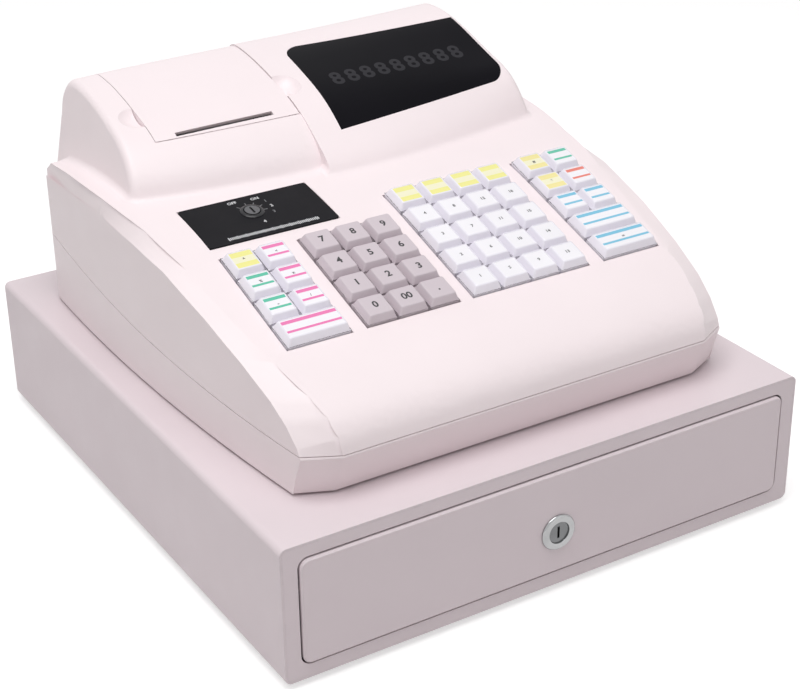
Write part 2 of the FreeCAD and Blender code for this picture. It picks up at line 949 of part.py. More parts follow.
# Note clips: a plastic arm for each bay that swings on the rod and rests its toe just above the bay floor.
def clip_shape(middle):
    """One clip about the rod at a bay's middle, with its toe at the resting height."""
    sleeve_bore = size.clip_rod_radius + size.running_clearance
    start = Vector(middle - size.clip_half, size.clip_place, size.clip_height)
    width = 2 * size.clip_half
    sleeve = Part.makeCylinder(size.clip_sleeve_radius, width, start, X_AXIS)
    toe_height = size.drawer_floor + size.tray_floor + size.clip_rest_gap + size.clip_toe_radius
    drop = math.asin((size.clip_height - toe_height) / size.clip_length)
    toe_place = Vector(start.x, start.y - size.clip_length * math.cos(drop), toe_height)
    toe = Part.makeCylinder(size.clip_toe_radius, width, toe_place, X_AXIS)
    arm = Part.makeBox(width, size.clip_length, size.clip_sheet)
    arm.translate(Vector(0, -size.clip_length, -size.clip_sheet / 2))
    arm.rotate(Vector(0, 0, 0), X_AXIS, math.degrees(drop))
    arm.translate(start)
    bore = Part.makeCylinder(sleeve_bore, width + 2 * size.overrun, start - X_AXIS * size.overrun, X_AXIS)
    return sleeve.fuse([toe, arm]).cut(bore)


bay_middles = [
    -size.tray_half + size.tray_wall + size.tray_bay / 2 + bay * (size.tray_bay + size.tray_wall)
    for bay in range(BAYS)
]
keep_shape("note_clips", Part.makeCompound([clip_shape(middle) for middle in bay_middles]))


# Ejector spring: a wire coil squeezed between the drawer's back and the case, round the spigot.
def coil_shape(start, end):
    """One unbroken coil along Y between two places."""
    wire = size.spring_wire
    length = end - start - 2 * wire
    helix = Part.makeHelix(length / size.spring_turns, length, size.spring_radius)
    corners = []
    for n in range(int(size.spring_sides) + 1):
        turn = 2 * math.pi * n / size.spring_sides
        out = size.spring_radius + wire * math.cos(turn)
        corners.append(Vector(out, 0, wire * math.sin(turn)))
    section = Part.makePolygon(corners)
    coil = Part.Wire(helix).makePipeShell([section], True, True)
    coil.rotate(Vector(0, 0, 0), X_AXIS, -QUARTER_TURN)
    coil.translate(Vector(size.spring_place, start + wire, size.spring_height))
    return coil


spring_front = size.drawer_depth + size.spring_seat_gap
spring_back = size.case_back - size.spring_seat_gap
keep_shape("ejector_spring", coil_shape(spring_front, spring_back))

# Latch solenoid: the coil and its steel bracket with two ears, on the case floor behind the drawer.
coil_block = block(
    "Coil_block",
    ("coil_left", "case_back - coil_back_gap - coil_depth", "case_floor"),
    ("coil_left + coil_length", "case_back - coil_back_gap", "coil_high"),
)
ear_low = "case_floor"
ear_high = "latch_pin_height + latch_boss_radius"
ear_left = block(
    "Ear_left",
    ("-latch_half - ear_gap - ear_sheet", "latch_pin_place - latch_boss_radius", ear_low),
    ("-latch_half - ear_gap", "latch_pin_place + latch_boss_radius", ear_high),
)
ear_right = block(
    "Ear_right",
    ("latch_half + ear_gap", "latch_pin_place - latch_boss_radius", ear_low),
    ("latch_half + ear_gap + ear_sheet", "latch_pin_place + latch_boss_radius", ear_high),
)
ear_floor = block(
    "Ear_floor",
    ("-latch_half - ear_gap - ear_sheet", "latch_pin_place - latch_boss_radius", "case_floor"),
    ("coil_left + overrun", "latch_pin_place + latch_boss_radius", "case_floor + ear_sheet"),
)
latch_pin = rod(
    "Latch_pin",
    "x",
    ("-latch_half - ear_gap - ear_sheet", "latch_pin_place", "latch_pin_height"),
    "latch_pin_radius",
    "2 * (latch_half + ear_gap + ear_sheet)",
)
solenoid_body = join("Solenoid_body", coil_block, ear_left, ear_right, ear_floor, latch_pin)
bend_relief = block(
    "Bend_relief",
    (
        "-latch_half - ear_gap - ear_sheet - overrun",
        "case_back - case_edge_radius + case_sheet",
        "case_floor - overrun",
    ),
    (
        "coil_left + coil_length + overrun",
        "case_back",
        "case_floor + case_edge_radius - case_sheet",
    ),
)
keep(cut("Latch_solenoid", solenoid_body, bend_relief), "latch_solenoid")

# Latch lever: the armature that the coil lifts. It is drawn released, with its nose below the drawer's tab.
lever_boss = rod(
    "Lever_boss",
    "x",
    ("-latch_half", "latch_pin_place", "latch_pin_height"),
    "latch_boss_radius",
    "2 * latch_half",
)
lever_arm = block(
    "Lever_arm",
    ("-latch_half", "latch_pin_place - latch_nose_front", "latch_pin_height + latch_arm_low"),
    ("latch_half", "latch_pin_place", "latch_pin_height + latch_arm_high"),
)
lever_nose = block(
    "Lever_nose",
    ("-latch_half", "latch_pin_place - latch_nose_front", "latch_pin_height"),
    ("latch_half", "latch_pin_place - latch_nose_back", "latch_pin_height + latch_nose_high"),
)
lever_bore = rod(
    "Lever_bore",
    "x",
    ("-latch_half - overrun", "latch_pin_place", "latch_pin_height"),
    "latch_pin_radius + running_clearance",
    "2 * (latch_half + overrun)",
)
keep(cut("Latch_lever", join("Lever_blank", lever_boss, lever_arm, lever_nose), lever_bore), "latch_lever")

# Register housing: the outside is one shape, drawn from a side view, a plan and the two sloping shoulders.
# Each share is a part of the housing's own half width, depth or rise, counted from its front foot.
NOSE_SHARES = ((0.0, 0.2404), (0.0084, 0.3476), (0.0319, 0.436), (0.0754, 0.514))
NOSE_LEAN_SHARE = 0.12
BACK_DECK_SHARES = (
    (0.491, 0.9199),
    (0.5876, 0.9677),
    (0.7165, 0.9979),
    (0.8454, 0.9823),
    (0.9517, 0.9303),
)
BACK_FALL_SHARE = -0.2
BACK_CORNER_SHARE = (0.9936, 0.8366)
# Where the flat top ends and the shoulder begins: half width, depth and rise
TOP_EDGE_SHARES = (
    (0.782, 0.0296, 0.0),
    (0.7786, 0.0, 0.2404),
    (0.7854, 0.0084, 0.3476),
    (0.7989, 0.0319, 0.436),
    (0.8226, 0.0754, 0.514),
    (0.8599, 0.1591, 0.6077),
    (0.8937, 0.2816, 0.7284),
    (0.9208, 0.4104, 0.8559),
    (0.9513, 0.5393, 0.9459),
    (0.9851, 0.6843, 0.9927),
    (0.9885, 0.8454, 0.9823),
    (0.9479, 1.0387, 0.8783),
)
# Where the shoulder ends and the upright side begins
SIDE_EDGE_SHARES = (
    (0.9113, 0.0573, 0.0),
    (0.9174, 0.0329, 0.2404),
    (0.9276, 0.0432, 0.2903),
    (0.9384, 0.0722, 0.384),
    (0.9492, 0.114, 0.4776),
    (0.9641, 0.1914, 0.5931),
    (0.9817, 0.2977, 0.717),
    (0.9926, 0.433, 0.8314),
    (0.9973, 0.5554, 0.873),
    (1.0, 0.6843, 0.8959),
    (0.9926, 0.8454, 0.8678),
    (0.9513, 1.0387, 0.7742),
)
# The two raised housings at the back: depth and rise of each one's side view at the seam and at its outer end
PRINTER_SEAM_SHARES = (
    (0.0428, 0.1667),
    (0.0544, 0.2986),
    (0.0855, 0.3958),
    (0.14, 0.4931),
    (0.2255, 0.6042),
    (0.3227, 0.6875),
    (0.5132, 0.7917),
    (0.6921, 0.8653),
    (0.8243, 0.8972),
    (0.9176, 0.8819),
    (0.9681, 0.7917),
    (0.9876, 0.5972),
)
PRINTER_END_SHARES = (
    (0.14, 0.1667),
    (0.1516, 0.2986),
    (0.1711, 0.4028),
    (0.21, 0.5),
    (0.276, 0.6014),
    (0.3561, 0.6806),
    (0.5327, 0.7847),
    (0.6998, 0.8542),
    (0.8165, 0.8722),
    (0.9098, 0.8542),
    (0.9681, 0.7639),
    (0.9876, 0.5833),
)
DISPLAY_SEAM_SHARES = (
    (-0.0327, 0.1667),
    (-0.0093, 0.2917),
    (0.0451, 0.3958),
    (0.1205, 0.4972),
    (0.2162, 0.6097),
    (0.3204, 0.6986),
    (0.5117, 0.8028),
    (0.6905, 0.8764),
    (0.8243, 0.9097),
    (0.9215, 0.8944),
    (0.9743, 0.7986),
    (0.9922, 0.5972),
)
DISPLAY_END_SHARES = (
    (0.0848, 0.1667),
    (0.105, 0.2917),
    (0.1291, 0.4208),
    (0.161, 0.5347),
    (0.2177, 0.6444),
    (0.3281, 0.7264),
    (0.5039, 0.85),
    (0.6827, 0.9569),
    (0.8149, 0.9778),
    (0.9075, 0.9486),
    (0.9712, 0.8236),
    (0.9922, 0.6056),
)
# How far each has changed from the one view to the other at a place across the register
PRINTER_SWEEP_SHARES = ((-1.0219, 1.0), (-0.7664, 0.47), (-0.438, 0.12), (-0.1292, 0.0), (0.073, 0.0))
DISPLAY_SWEEP_SHARES = ((-0.2, 0.0), (0.2044, 0.04), (0.4891, 0.27), (0.7153, 0.53), (1.0219, 1.0))
# The parting line between base and housing climbs towards the back
SEAM_SHARES = (
    (-0.06, 0.2529),
    (0.0432, 0.2535),
    (0.1269, 0.2556),
    (0.317, 0.2737),
    (0.5361, 0.3101),
    (0.8808, 0.4162),
    (1.06, 0.482),
)


def smooth(points, start=None, end=None):
    """A smooth edge through points, with its end directions if they are given."""
    curve = Part.BSplineCurve()
    if start:
        curve.interpolate(points, InitialTangent=start, FinalTangent=end)
    else:
        curve.interpolate(points)
    return curve.toShape()


def drawn_in(points, inset, start=None, end=None):
    """The points of a side view moved square to their smooth curve, into the wall."""
    curve = smooth(points, start, end).Curve
    moved = []
    for point in points:
        way = curve.tangent(curve.parameter(point))[0]
        moved.append(point + Vector(0, way.z, -way.y) * inset)
    return moved


def deck_height(along):
    """Height of the key deck's plane at a distance from the front."""
    return size.key_plane_height + (along - size.key_plane_place) * math.tan(math.radians(size.key_slope))


def at_share(across, along, rise):
    """A point of the housing from its shares."""
    return Vector(
        across * size.side_half,
        size.nose_front + along * size.body_depth,
        size.body_low + rise * size.deck_rise,
    )


def into_wall(before, after, inset):
    """How a corner of a side view moves when the lines on both its sides move into the wall."""
    first = Vector(0, before.z, -before.y)
    second = Vector(0, after.z, -after.y)
    first.normalize()
    second.normalize()
    middle = first + second
    middle.normalize()
    return middle * (inset / middle.dot(first))


def side_view(inset):
    """The housing's side view, pulled across its whole width."""
    foot = Vector(0, size.body_front, size.body_low)
    nose = [at_share(0, along, rise) for along, rise in NOSE_SHARES]
    nose.append(Vector(0, size.key_plane_front, deck_height(size.key_plane_front)))
    deck_back = Vector(0, size.key_plane_back, deck_height(size.key_plane_back))
    back_deck = [deck_back] + [at_share(0, along, rise) for along, rise in BACK_DECK_SHARES]
    back_corner = at_share(0, *BACK_CORNER_SHARE)
    back_foot = Vector(0, size.body_back, size.body_low)
    front_face = nose[0] - foot
    lean = Vector(0, NOSE_LEAN_SHARE, 1)
    climb = deck_back - nose[-1]
    climb.normalize()
    fall = Vector(0, 1, BACK_FALL_SHARE)
    back_slope = back_corner - back_deck[-1]
    back_face = back_foot - back_corner
    if inset:
        nose = drawn_in(nose, inset, lean, climb)
        nose[0] = at_share(0, *NOSE_SHARES[0]) + into_wall(front_face, lean, inset)
        back_deck = drawn_in(back_deck, inset, climb, fall)
        back_deck[-1] = at_share(0, *BACK_DECK_SHARES[-1]) + into_wall(fall, back_slope, inset)
        back_corner = back_corner + into_wall(back_slope, back_face, inset)
        floor = Vector(0, -1, 0)
        foot = foot + into_wall(floor, front_face, inset)
        back_foot = back_foot + into_wall(back_face, floor, inset)
    edges = [
        Part.makeLine(foot, nose[0]),
        smooth(nose, lean, climb),
        Part.makeLine(nose[-1], back_deck[0]),
        smooth(back_deck, climb, fall),
        Part.makeLine(back_deck[-1], back_corner),
        Part.makeLine(back_corner, back_foot),
        Part.makeLine(back_foot, foot),
    ]
    face = Part.Face(Part.Wire(edges))
    face.translate(Vector(-size.case_half, 0, 0))
    return face.extrude(Vector(2 * size.case_half, 0, 0))


def side_reach(along):
    """Half width of the gently bowed sides at a distance from the front."""
    return size.side_half - (along - size.side_widest) ** 2 / (2 * size.side_bow_radius)


def plan_view(inset):
    """The housing's plan, pulled up through its whole height."""
    front = size.nose_front - size.overrun
    corner = size.body_back - size.corner_back_radius
    reach = side_reach(corner)
    radius = size.corner_back_radius - inset
    turn = radius * math.sin(math.radians(QUARTER_TURN / 2))
    centre = reach - size.corner_back_radius
    low = size.body_low - size.overrun
    sides = []
    ends = []
    for sign in (RIGHT, LEFT):
        start = Vector(sign * (side_reach(front) - inset), front, low)
        halfway = (front + corner) / 2
        middle = Vector(sign * (side_reach(halfway) - inset), halfway, low)
        end = Vector(sign * (reach - inset), corner, low)
        bend = Vector(sign * (centre + turn), corner + turn, low)
        back = Vector(sign * centre, corner + radius, low)
        side = Part.Arc(start, middle, end).toShape()
        back_corner = Part.Arc(end, bend, back).toShape()
        sides.append((side, back_corner))
        ends.append((start, back))
    (right_side, right_corner), (left_side, left_corner) = sides
    (right_start, right_back), (left_start, left_back) = ends
    edges = [
        right_side,
        right_corner,
        Part.makeLine(right_back, left_back),
        left_corner,
        left_side,
        Part.makeLine(left_start, right_start),
    ]
    return Part.Face(Part.Wire(edges)).extrude(Vector(0, 0, size.hump_top))


def shoulder(sign, inset):
    """What lies outside one sloping shoulder, to be cut away."""
    sections = []
    for top_share, side_share in zip(TOP_EDGE_SHARES, SIDE_EDGE_SHARES):
        top = at_share(*top_share)
        side = at_share(*side_share)
        at_front = side.z < size.shoulder_turn
        drop = size.far_drop_front if at_front else size.far_drop_back
        lift = size.far_out if side.z > size.nose_height else 0
        far = Vector(side.x + size.far_out, (top.y + side.y) / 2 - drop, max(top.z, side.z) + lift)
        inward = Vector(-inset, inset / 2 if at_front else 0, -inset)
        corners = [top + inward, side + inward, far, top + inward]
        sections.append(Part.makePolygon([Vector(sign * p.x, p.y, p.z) for p in corners]))
    return Part.makeLoft(sections, True, True)


def lower_body(inset):
    """The main body, without the raised housings at the back."""
    body = side_view(inset).common(plan_view(inset))
    return body.cut(shoulder(RIGHT, inset)).cut(shoulder(LEFT, inset))


def raised(seam_shares, end_shares, sweep_shares, inset):
    """One raised housing lofted across the register, before its sides are cut to shape."""
    sections = []
    for across, blend in sweep_shares:
        x = across * size.hump_foot_half
        points = []
        for seam, end in zip(seam_shares, end_shares):
            along, rise = [near + blend * (far - near) for near, far in zip(seam, end)]
            height = size.hump_foot + rise * size.hump_rise
            points.append(Vector(x, size.hump_front + along * size.hump_depth, height))
        points = drawn_in(points, inset)
        foot_back = Vector(x, size.hump_back - inset, size.hump_foot + inset)
        foot_front = Vector(x, points[0].y, size.hump_foot + inset)
        edges = [
            smooth(points),
            Part.makeLine(points[-1], foot_back),
            Part.makeLine(foot_back, foot_front),
            Part.makeLine(foot_front, points[0]),
        ]
        sections.append(Part.Wire(edges))
    return Part.makeLoft(sections, True, False)


def raised_printer(inset):
    """The printer's raised housing before its sides are cut."""
    return raised(PRINTER_SEAM_SHARES, PRINTER_END_SHARES, PRINTER_SWEEP_SHARES, inset)


def raised_display(inset):
    """The display's raised housing before its sides are cut. It stands a little proud of the printer's."""
    return raised(DISPLAY_SEAM_SHARES, DISPLAY_END_SHARES, DISPLAY_SWEEP_SHARES, inset)


def between(front_view):
    """A block through the back of the register with the given front view."""
    start = size.hump_front - 2 * size.overrun
    corners = [Vector(x, start, z) for x, z in front_view]
    face = Part.Face(Part.makePolygon(corners + corners[:1]))
    return face.extrude(Vector(0, size.hump_back + size.overrun - start, 0))


def flank_reach(height):
    """Half width of the raised housings' sloping sides at a height."""
    rise = (height - size.hump_foot) / (size.hump_top - size.hump_foot)
    return size.hump_foot_half + rise * (size.hump_top_half - size.hump_foot_half)


def soften_flank(shape, sign, inset):
    """Round the edges where a sloping side meets the top and the front."""

    def on_flank(edge):
        gaps = [abs(p.x - sign * (flank_reach(p.z) - inset)) for p in edge.discretize(9)]
        return max(gaps) < size.running_clearance

    low = size.hump_foot + inset + size.wall
    edges = [edge for edge in shape.Edges if on_flank(edge) and edge.BoundBox.ZMax > low]
    return shape.makeFillet(size.hump_round - inset, edges)


def display_housing(inset):
    """The raised housing of the display, on the right."""
    split = size.hump_split + inset
    block_view = between(
        [
            (split, size.hump_foot),
            (split, size.hump_top),
            (size.hump_top_half - inset, size.hump_top),
            (size.hump_foot_half - inset, size.hump_foot),
        ]
    )
    return soften_flank(raised_display(inset).common(block_view), RIGHT, inset)


def printer_housing(inset):
    """The raised housing of the printer, on the left."""
    end = -size.overrun - inset
    block_view = between(
        [
            (-size.hump_foot_half + inset, size.hump_foot),
            (-size.hump_top_half + inset, size.hump_top),
            (end, size.hump_top),
            (end, size.hump_foot),
        ]
    )
    return soften_flank(raised_printer(inset).common(block_view), LEFT, inset)


def soften_foot(shape):
    """Round the hollow line where the raised housings meet the deck."""

    def at_foot(edge):
        low = size.hump_foot + 2 * size.overrun
        high = low + 3 * size.overrun
        front = size.hump_front - 2 * size.overrun
        points = edge.discretize(5)
        inside = all(abs(p.x) < size.hump_foot_half + size.wall for p in points)
        upright = all(low < p.z < high and front < p.y < size.back_edge for p in points)
        return inside and upright and edge.Length > size.wall

    return shape.makeFillet(size.foot_round, [edge for edge in shape.Edges if at_foot(edge)])


display_outside = display_housing(0.0)
printer_outside = printer_housing(0.0)
raised_outside = display_outside.fuse(printer_outside)
outside = soften_foot(lower_body(0.0).fuse(raised_outside))
cavity = lower_body(size.wall).fuse([display_housing(size.wall), printer_housing(size.wall)])


def tower(x, y, radius, low, high):
    """An upright round post."""
    return Part.makeCylinder(radius, high - low, Vector(x, y, low), Z_AXIS)


def crate(low, high):
    """A block between two corners, for the shapes that are worked out here."""
    span = Vector(*high) - Vector(*low)
    return Part.makeBox(span.x, span.y, span.z, Vector(*low))


# Where the wall keeps solid: screw columns, hinge cheeks, notch backs and the bed of the mode panel.
columns = []
joints = []
for x, y, height in (
    (size.side_half - size.standoff_inset_front, size.standoff_front, size.standoff_join_front),
    (size.side_half - size.standoff_inset_back, size.standoff_back, size.standoff_join_back),
):
    for sign in (LEFT, RIGHT):
        columns.append(tower(sign * x, y, size.standoff_radius, size.body_low, size.hump_top))
        joints.append(tower(sign * x, y, size.standoff_radius, size.body_low, height))
hinge = Vector(0, size.cover_hinge_place, size.cover_hinge_height)
cheeks = []
for near, far in (
    (size.cover_left - size.cheek_width, size.cover_left),
    (size.cover_right, size.cover_right + size.cheek_width),
):
    cheeks.append(
        crate(
            (near, size.cover_hinge_place - size.cheek_half, size.cover_hinge_height - size.cheek_half),
            (far, size.body_back, size.cover_hinge_height + 2 * size.cheek_half),
        )
    )
notch_left = Vector(size.cover_left - size.notch_out, size.notch_place, size.notch_height)
notch_right = Vector(size.cover_right + size.notch_out, size.notch_place, size.notch_height)
notch_backs = []
for centre, sign in ((notch_left, LEFT), (notch_right, RIGHT)):
    ball = Part.makeSphere(size.notch_radius + size.wall, centre)
    edge = size.cover_left if sign == LEFT else size.cover_right
    side = crate(
        (min(edge, edge + sign * size.case_half), size.hump_front, size.hump_foot),
        (max(edge, edge + sign * size.case_half), size.body_back, size.hump_top + size.overrun),
    )
    notch_backs.append(ball.common(side))


def on_panel(low, high):
    """A block lying on the mode panel's plane: across, along and above it."""
    shape = crate(low, high)
    shape.rotate(Vector(0, 0, 0), X_AXIS, size.panel_slope)
    shape.translate(Vector(0, size.mode_front, size.mode_height))
    return shape


bed = on_panel(
    (size.mode_left - 2 * size.mode_fit - size.wall, -size.wall, -size.mode_sheet - size.wall),
    (size.mode_left + size.mode_width + size.wall, size.mode_length + size.wall, size.overrun),
)
board_posts = [
    tower(x, y, size.main_post_radius, size.body_low, size.main_height)
    for x in (size.main_left + size.main_post_inset, size.main_right - size.main_post_inset)
    for y in (size.main_front + size.main_post_inset, size.main_back - size.main_post_inset)
]
hollow = cavity.cut(columns + cheeks + notch_backs + [bed] + board_posts)
shell = outside.cut(hollow)


def below_seam(lift):
    """Everything below the parting line, moved up or down a little."""
    points = [at_share(0, along, rise) + Vector(0, 0, lift) for along, rise in SEAM_SHARES]
    low = size.body_low - size.overrun
    front = Vector(0, points[0].y, low)
    back = Vector(0, points[-1].y, low)
    edges = [
        smooth(points),
        Part.makeLine(points[-1], back),
        Part.makeLine(back, front),
        Part.makeLine(front, points[0]),
    ]
    face = Part.Face(Part.Wire(edges))
    face.translate(Vector(-size.case_half, 0, 0))
    return face.extrude(Vector(2 * size.case_half, 0, 0))


def sketch_shape(name, shape):
    """Put a worked-out shape into the document, so that later steps can build on it."""
    thing = doc.addObject("Part::Feature", name)
    thing.Shape = shape
    return thing


base_shell = sketch_shape("Base_shell", shell.common(below_seam(-size.seam_gap / 2).fuse(joints)))
upper_shell = sketch_shape("Upper_shell", shell.cut(below_seam(size.seam_gap / 2).fuse(joints)))

# Base tray: the lower moulding. It carries the screw columns, the main board's posts and four moulded feet.
base_holes = []
screw_places = []
for along in ("front", "back"):
    for x in (f"-side_half + standoff_inset_{along}", f"side_half - standoff_inset_{along}"):
        screw_places.append((x, "standoff_" + along, "standoff_join_" + along))
for n, (x, y, join_height) in enumerate(screw_places):
    base_holes.append(
        rod(
            f"Screw_way_{n}",
            "z",
            (x, y, "body_low"),
            "screw_radius + screw_fit",
            f"{join_height} + overrun / 2 - body_low",
        )
    )
    base_holes.append(
        rod(
            f"Screw_recess_{n}",
            "z",
            (x, y, "body_low - overrun"),
            "screw_head_radius + screw_fit",
            f"{join_height} - screw_grip - body_low + overrun",
        )
    )
inlet_hole = block(
    "Inlet_hole",
    (
        "inlet_place - inlet_half - inlet_fit",
        "body_back - inlet_depth",
        "inlet_low - inlet_fit",
    ),
    ("inlet_place + inlet_half + inlet_fit", "body_back + overrun", "inlet_high + inlet_fit"),
)
base_feet = []
for x in ("-body_pad_side", "body_pad_side"):
    for n, y in enumerate(("body_pad_front", "body_pad_back")):
        start = (x, y, "case_top")
        base_feet.append(rod(f"Body_pad_{n}", "z", start, "body_pad_radius", "base_gap + wall / 2"))
keep(cut("Base_tray", join("Base_blank", base_shell, *base_feet), *base_holes, inlet_hole), "base_tray")

# Case screws: four round-headed screws that go up through the base into the upper housing.
screws = []
for n, (x, y, join_height) in enumerate(screw_places):
    ledge = f"{join_height} - screw_grip"
    outline = [
        ("0", "-screw_head_height"),
        ("screw_head_radius - screw_edge", "-screw_head_height"),
        ("screw_head_radius", "-screw_head_height + screw_edge"),
        ("screw_head_radius", "0"),
        ("screw_radius", "0"),
        ("screw_radius", "screw_length"),
        ("0", "screw_length"),
    ]
    screws.append(turned(f"Screw_{n}", outline, (x, y, ledge), along="z"))
keep(group("Screw_set", *screws), "housing_screws")


def on_deck(thing, across, along, above):
    """Lay a shape on the sloping key deck, at a distance across, along and above it."""
    thing.Placement.Rotation = Rotation(X_AXIS, size.key_slope)
    bind(thing, "Placement.Rotation.Angle", "key_slope * 1 deg")
    lean = "key_slope * 1 deg"
    bind(thing, "Placement.Base.x", across)
    bind(thing, "Placement.Base.y", f"key_plane_place + ({along}) * cos({lean}) - ({above}) * sin({lean})")
    bind(thing, "Placement.Base.z", f"key_plane_height + ({along}) * sin({lean}) + ({above}) * cos({lean})")
    return thing


def deck_block(name, low, high):
    """A block lying on the key deck, between two corners of its own slope."""
    thing = doc.addObject("Part::Box", name)
    for prop, near, far in zip(("Length", "Width", "Height"), low, high):
        bind(thing, prop, f"({far}) - ({near})")
    return on_deck(thing, *low)


def on_mode(thing, across, along, above):
    """Lay a shape on the mode panel's plane, counted from the panel's front left corner."""
    thing.Placement.Rotation = Rotation(X_AXIS, size.panel_slope)
    bind(thing, "Placement.Rotation.Angle", "panel_slope * 1 deg")
    lean = "panel_slope * 1 deg"
    bind(thing, "Placement.Base.x", f"mode_left + {across}")
    bind(thing, "Placement.Base.y", f"mode_front + ({along}) * cos({lean}) - ({above}) * sin({lean})")
    bind(thing, "Placement.Base.z", f"mode_height + ({along}) * sin({lean}) + ({above}) * cos({lean})")
    return thing


def mode_block(name, low, high):
    """A block lying on the mode panel's plane."""
    thing = doc.addObject("Part::Box", name)
    for prop, near, far in zip(("Length", "Width", "Height"), low, high):
        bind(thing, prop, f"({far}) - ({near})")
    return on_mode(thing, *low)


# The keyboard's layout: each block has a left edge and its own keys by column, row from the front and width.
BLOCKS = {
    "clear": ("clear_block_left", 2, 4),
    "number": ("number_block_left", 3, 4),
    "department": ("department_block_left", 4, 5),
    "payment": ("payment_block_left", 2, 5),
}
KEYS = (
    ("paper_feed_key", "clear", 0, 3, 1),
    ("percent_key", "clear", 0, 2, 1),
    ("minus_key", "clear", 0, 1, 1),
    ("refund_key", "clear", 1, 3, 1),
    ("void_key", "clear", 1, 2, 1),
    ("correction_key", "clear", 1, 1, 1),
    ("clear_key", "clear", 0, 0, 2),
    ("number_key_7", "number", 0, 3, 1),
    ("number_key_8", "number", 1, 3, 1),
    ("number_key_9", "number", 2, 3, 1),
    ("number_key_4", "number", 0, 2, 1),
    ("number_key_5", "number", 1, 2, 1),
    ("number_key_6", "number", 2, 2, 1),
    ("number_key_1", "number", 0, 1, 1),
    ("number_key_2", "number", 1, 1, 1),
    ("number_key_3", "number", 2, 1, 1),
    ("number_key_0", "number", 0, 0, 1),
    ("number_key_00", "number", 1, 0, 1),
    ("number_key_point", "number", 2, 0, 1),
    ("price_lookup_key", "payment", 0, 4, 1),
    ("no_sale_key", "payment", 1, 4, 1),
    ("clerk_key", "payment", 0, 3, 1),
    ("cancel_key", "payment", 1, 3, 1),
    ("cheque_key", "payment", 0, 2, 1),
    ("charge_key", "payment", 1, 2, 1),
    ("subtotal_key", "payment", 0, 1, 2),
    ("cash_total_key", "payment", 0, 0, 2),
)
DEPARTMENT_COLUMNS = 4
DEPARTMENT_ROWS = 5


def key_middle(block_name, column, row, cells):
    """Formulas for a key's middle, across and along the deck."""
    left = BLOCKS[block_name][0]
    return (f"{left} + ({column} + {cells} / 2) * key_pitch", f"keys_front + ({row} + 1 / 2) * key_pitch")


# Upper housing: the sloping deck with its four key wells, the mode panel's recess and the printer's well.
upper_cuts = []
for n, (x, y, join_height) in enumerate(screw_places):
    bore_depth = "screw_length - screw_grip"
    upper_cuts.append(rod(f"Screw_bore_{n}", "z", (x, y, join_height), "screw_radius", bore_depth))
for name, (left, columns_across, rows_along) in BLOCKS.items():
    upper_cuts.append(
        deck_block(
            f"Key_well_{name}",
            (f"{left} + key_gap / 2 - key_well_fit", "keys_front + key_gap / 2 - key_well_fit", "-2 * wall"),
            (
                f"{left} + {columns_across} * key_pitch - key_gap / 2 + key_well_fit",
                f"keys_front + {rows_along} * key_pitch - key_gap / 2 + key_well_fit",
                "overrun",
            ),
        )
    )
upper_cuts.append(
    mode_block(
        "Mode_recess",
        ("-mode_fit", "-mode_fit", "-mode_sheet"),
        ("mode_width + mode_fit", "mode_length + mode_fit", "overrun"),
    )
)
rotor_way = doc.addObject("Part::Cylinder", "Rotor_way")
bind(rotor_way, "Radius", "rotor_radius + mode_fit")
bind(rotor_way, "Height", "rotor_depth + overrun")
upper_cuts.append(on_mode(rotor_way, "rotor_across", "rotor_along", "-rotor_depth - overrun / 2"))
upper_cuts.append(
    block(
        "Cover_opening",
        ("cover_left", "hump_front", "cover_height"),
        ("cover_right", "body_back + overrun", "hump_top"),
    )
)
upper_cuts.append(
    rod(
        "Hinge_relief",
        "x",
        ("cover_left", "cover_hinge_place", "cover_hinge_height"),
        "cover_relief",
        "cover_right - cover_left",
    )
)
upper_cuts.append(
    rod(
        "Hinge_holes",
        "x",
        ("cover_left - cover_gap - cover_pin_length", "cover_hinge_place", "cover_hinge_height"),
        "cover_pin_radius + running_clearance",
        "cover_right - cover_left + 2 * (cover_gap + cover_pin_length)",
    )
)
for side, x in (("left", "cover_left - notch_out"), ("right", "cover_right + notch_out")):
    notch = doc.addObject("Part::Sphere", "Finger_notch_" + side)
    bind(notch, "Radius", "notch_radius")
    place(notch, (x, "notch_place", "notch_height"))
    upper_cuts.append(notch)
paper_slot = doc.addObject("Part::Box", "Paper_slot")
bind(paper_slot, "Length", "2 * slot_half")
bind(paper_slot, "Width", "slot_width")
bind(paper_slot, "Height", "slot_depth")
paper_slot.Placement.Rotation = Rotation(X_AXIS, size.slot_slope)
lean = "slot_slope * 1 deg"
across_slot = "slot_width / 2"
down_slot = "slot_depth / 2"
place(
    paper_slot,
    (
        "slot_middle - slot_half",
        f"slot_place - {across_slot} * cos({lean}) + {down_slot} * sin({lean})",
        f"slot_height - {across_slot} * sin({lean}) - {down_slot} * cos({lean})",
    ),
)
upper_cuts.append(paper_slot)


def window_view(grow):
    """The display window's outline in plan, pulled up through the display's roof."""
    corners = [
        Vector(size.window_left_front - grow, size.window_front_left - grow, size.window_low),
        Vector(size.window_right_front + grow, size.window_front_right - grow, size.window_low),
        Vector(size.window_right_back + grow, size.window_back_right + grow, size.window_low),
        Vector(size.window_left_back - grow, size.window_back_left + grow, size.window_low),
    ]
    outline = Part.Face(Part.makePolygon(corners + corners[:1]))
    prism = outline.extrude(Vector(0, 0, size.hump_top - size.window_low))
    soft_corners = (corners[1], corners[3])

    def at_soft_corner(edge):
        middle = edge.CenterOfMass
        gaps = [math.hypot(middle.x - corner.x, middle.y - corner.y) for corner in soft_corners]
        return runs_along(edge, Z_AXIS) and min(gaps) < size.wall

    bends = [edge for edge in prism.Edges if at_soft_corner(edge)]
    return prism.makeFillet(size.window_corner + grow, bends)


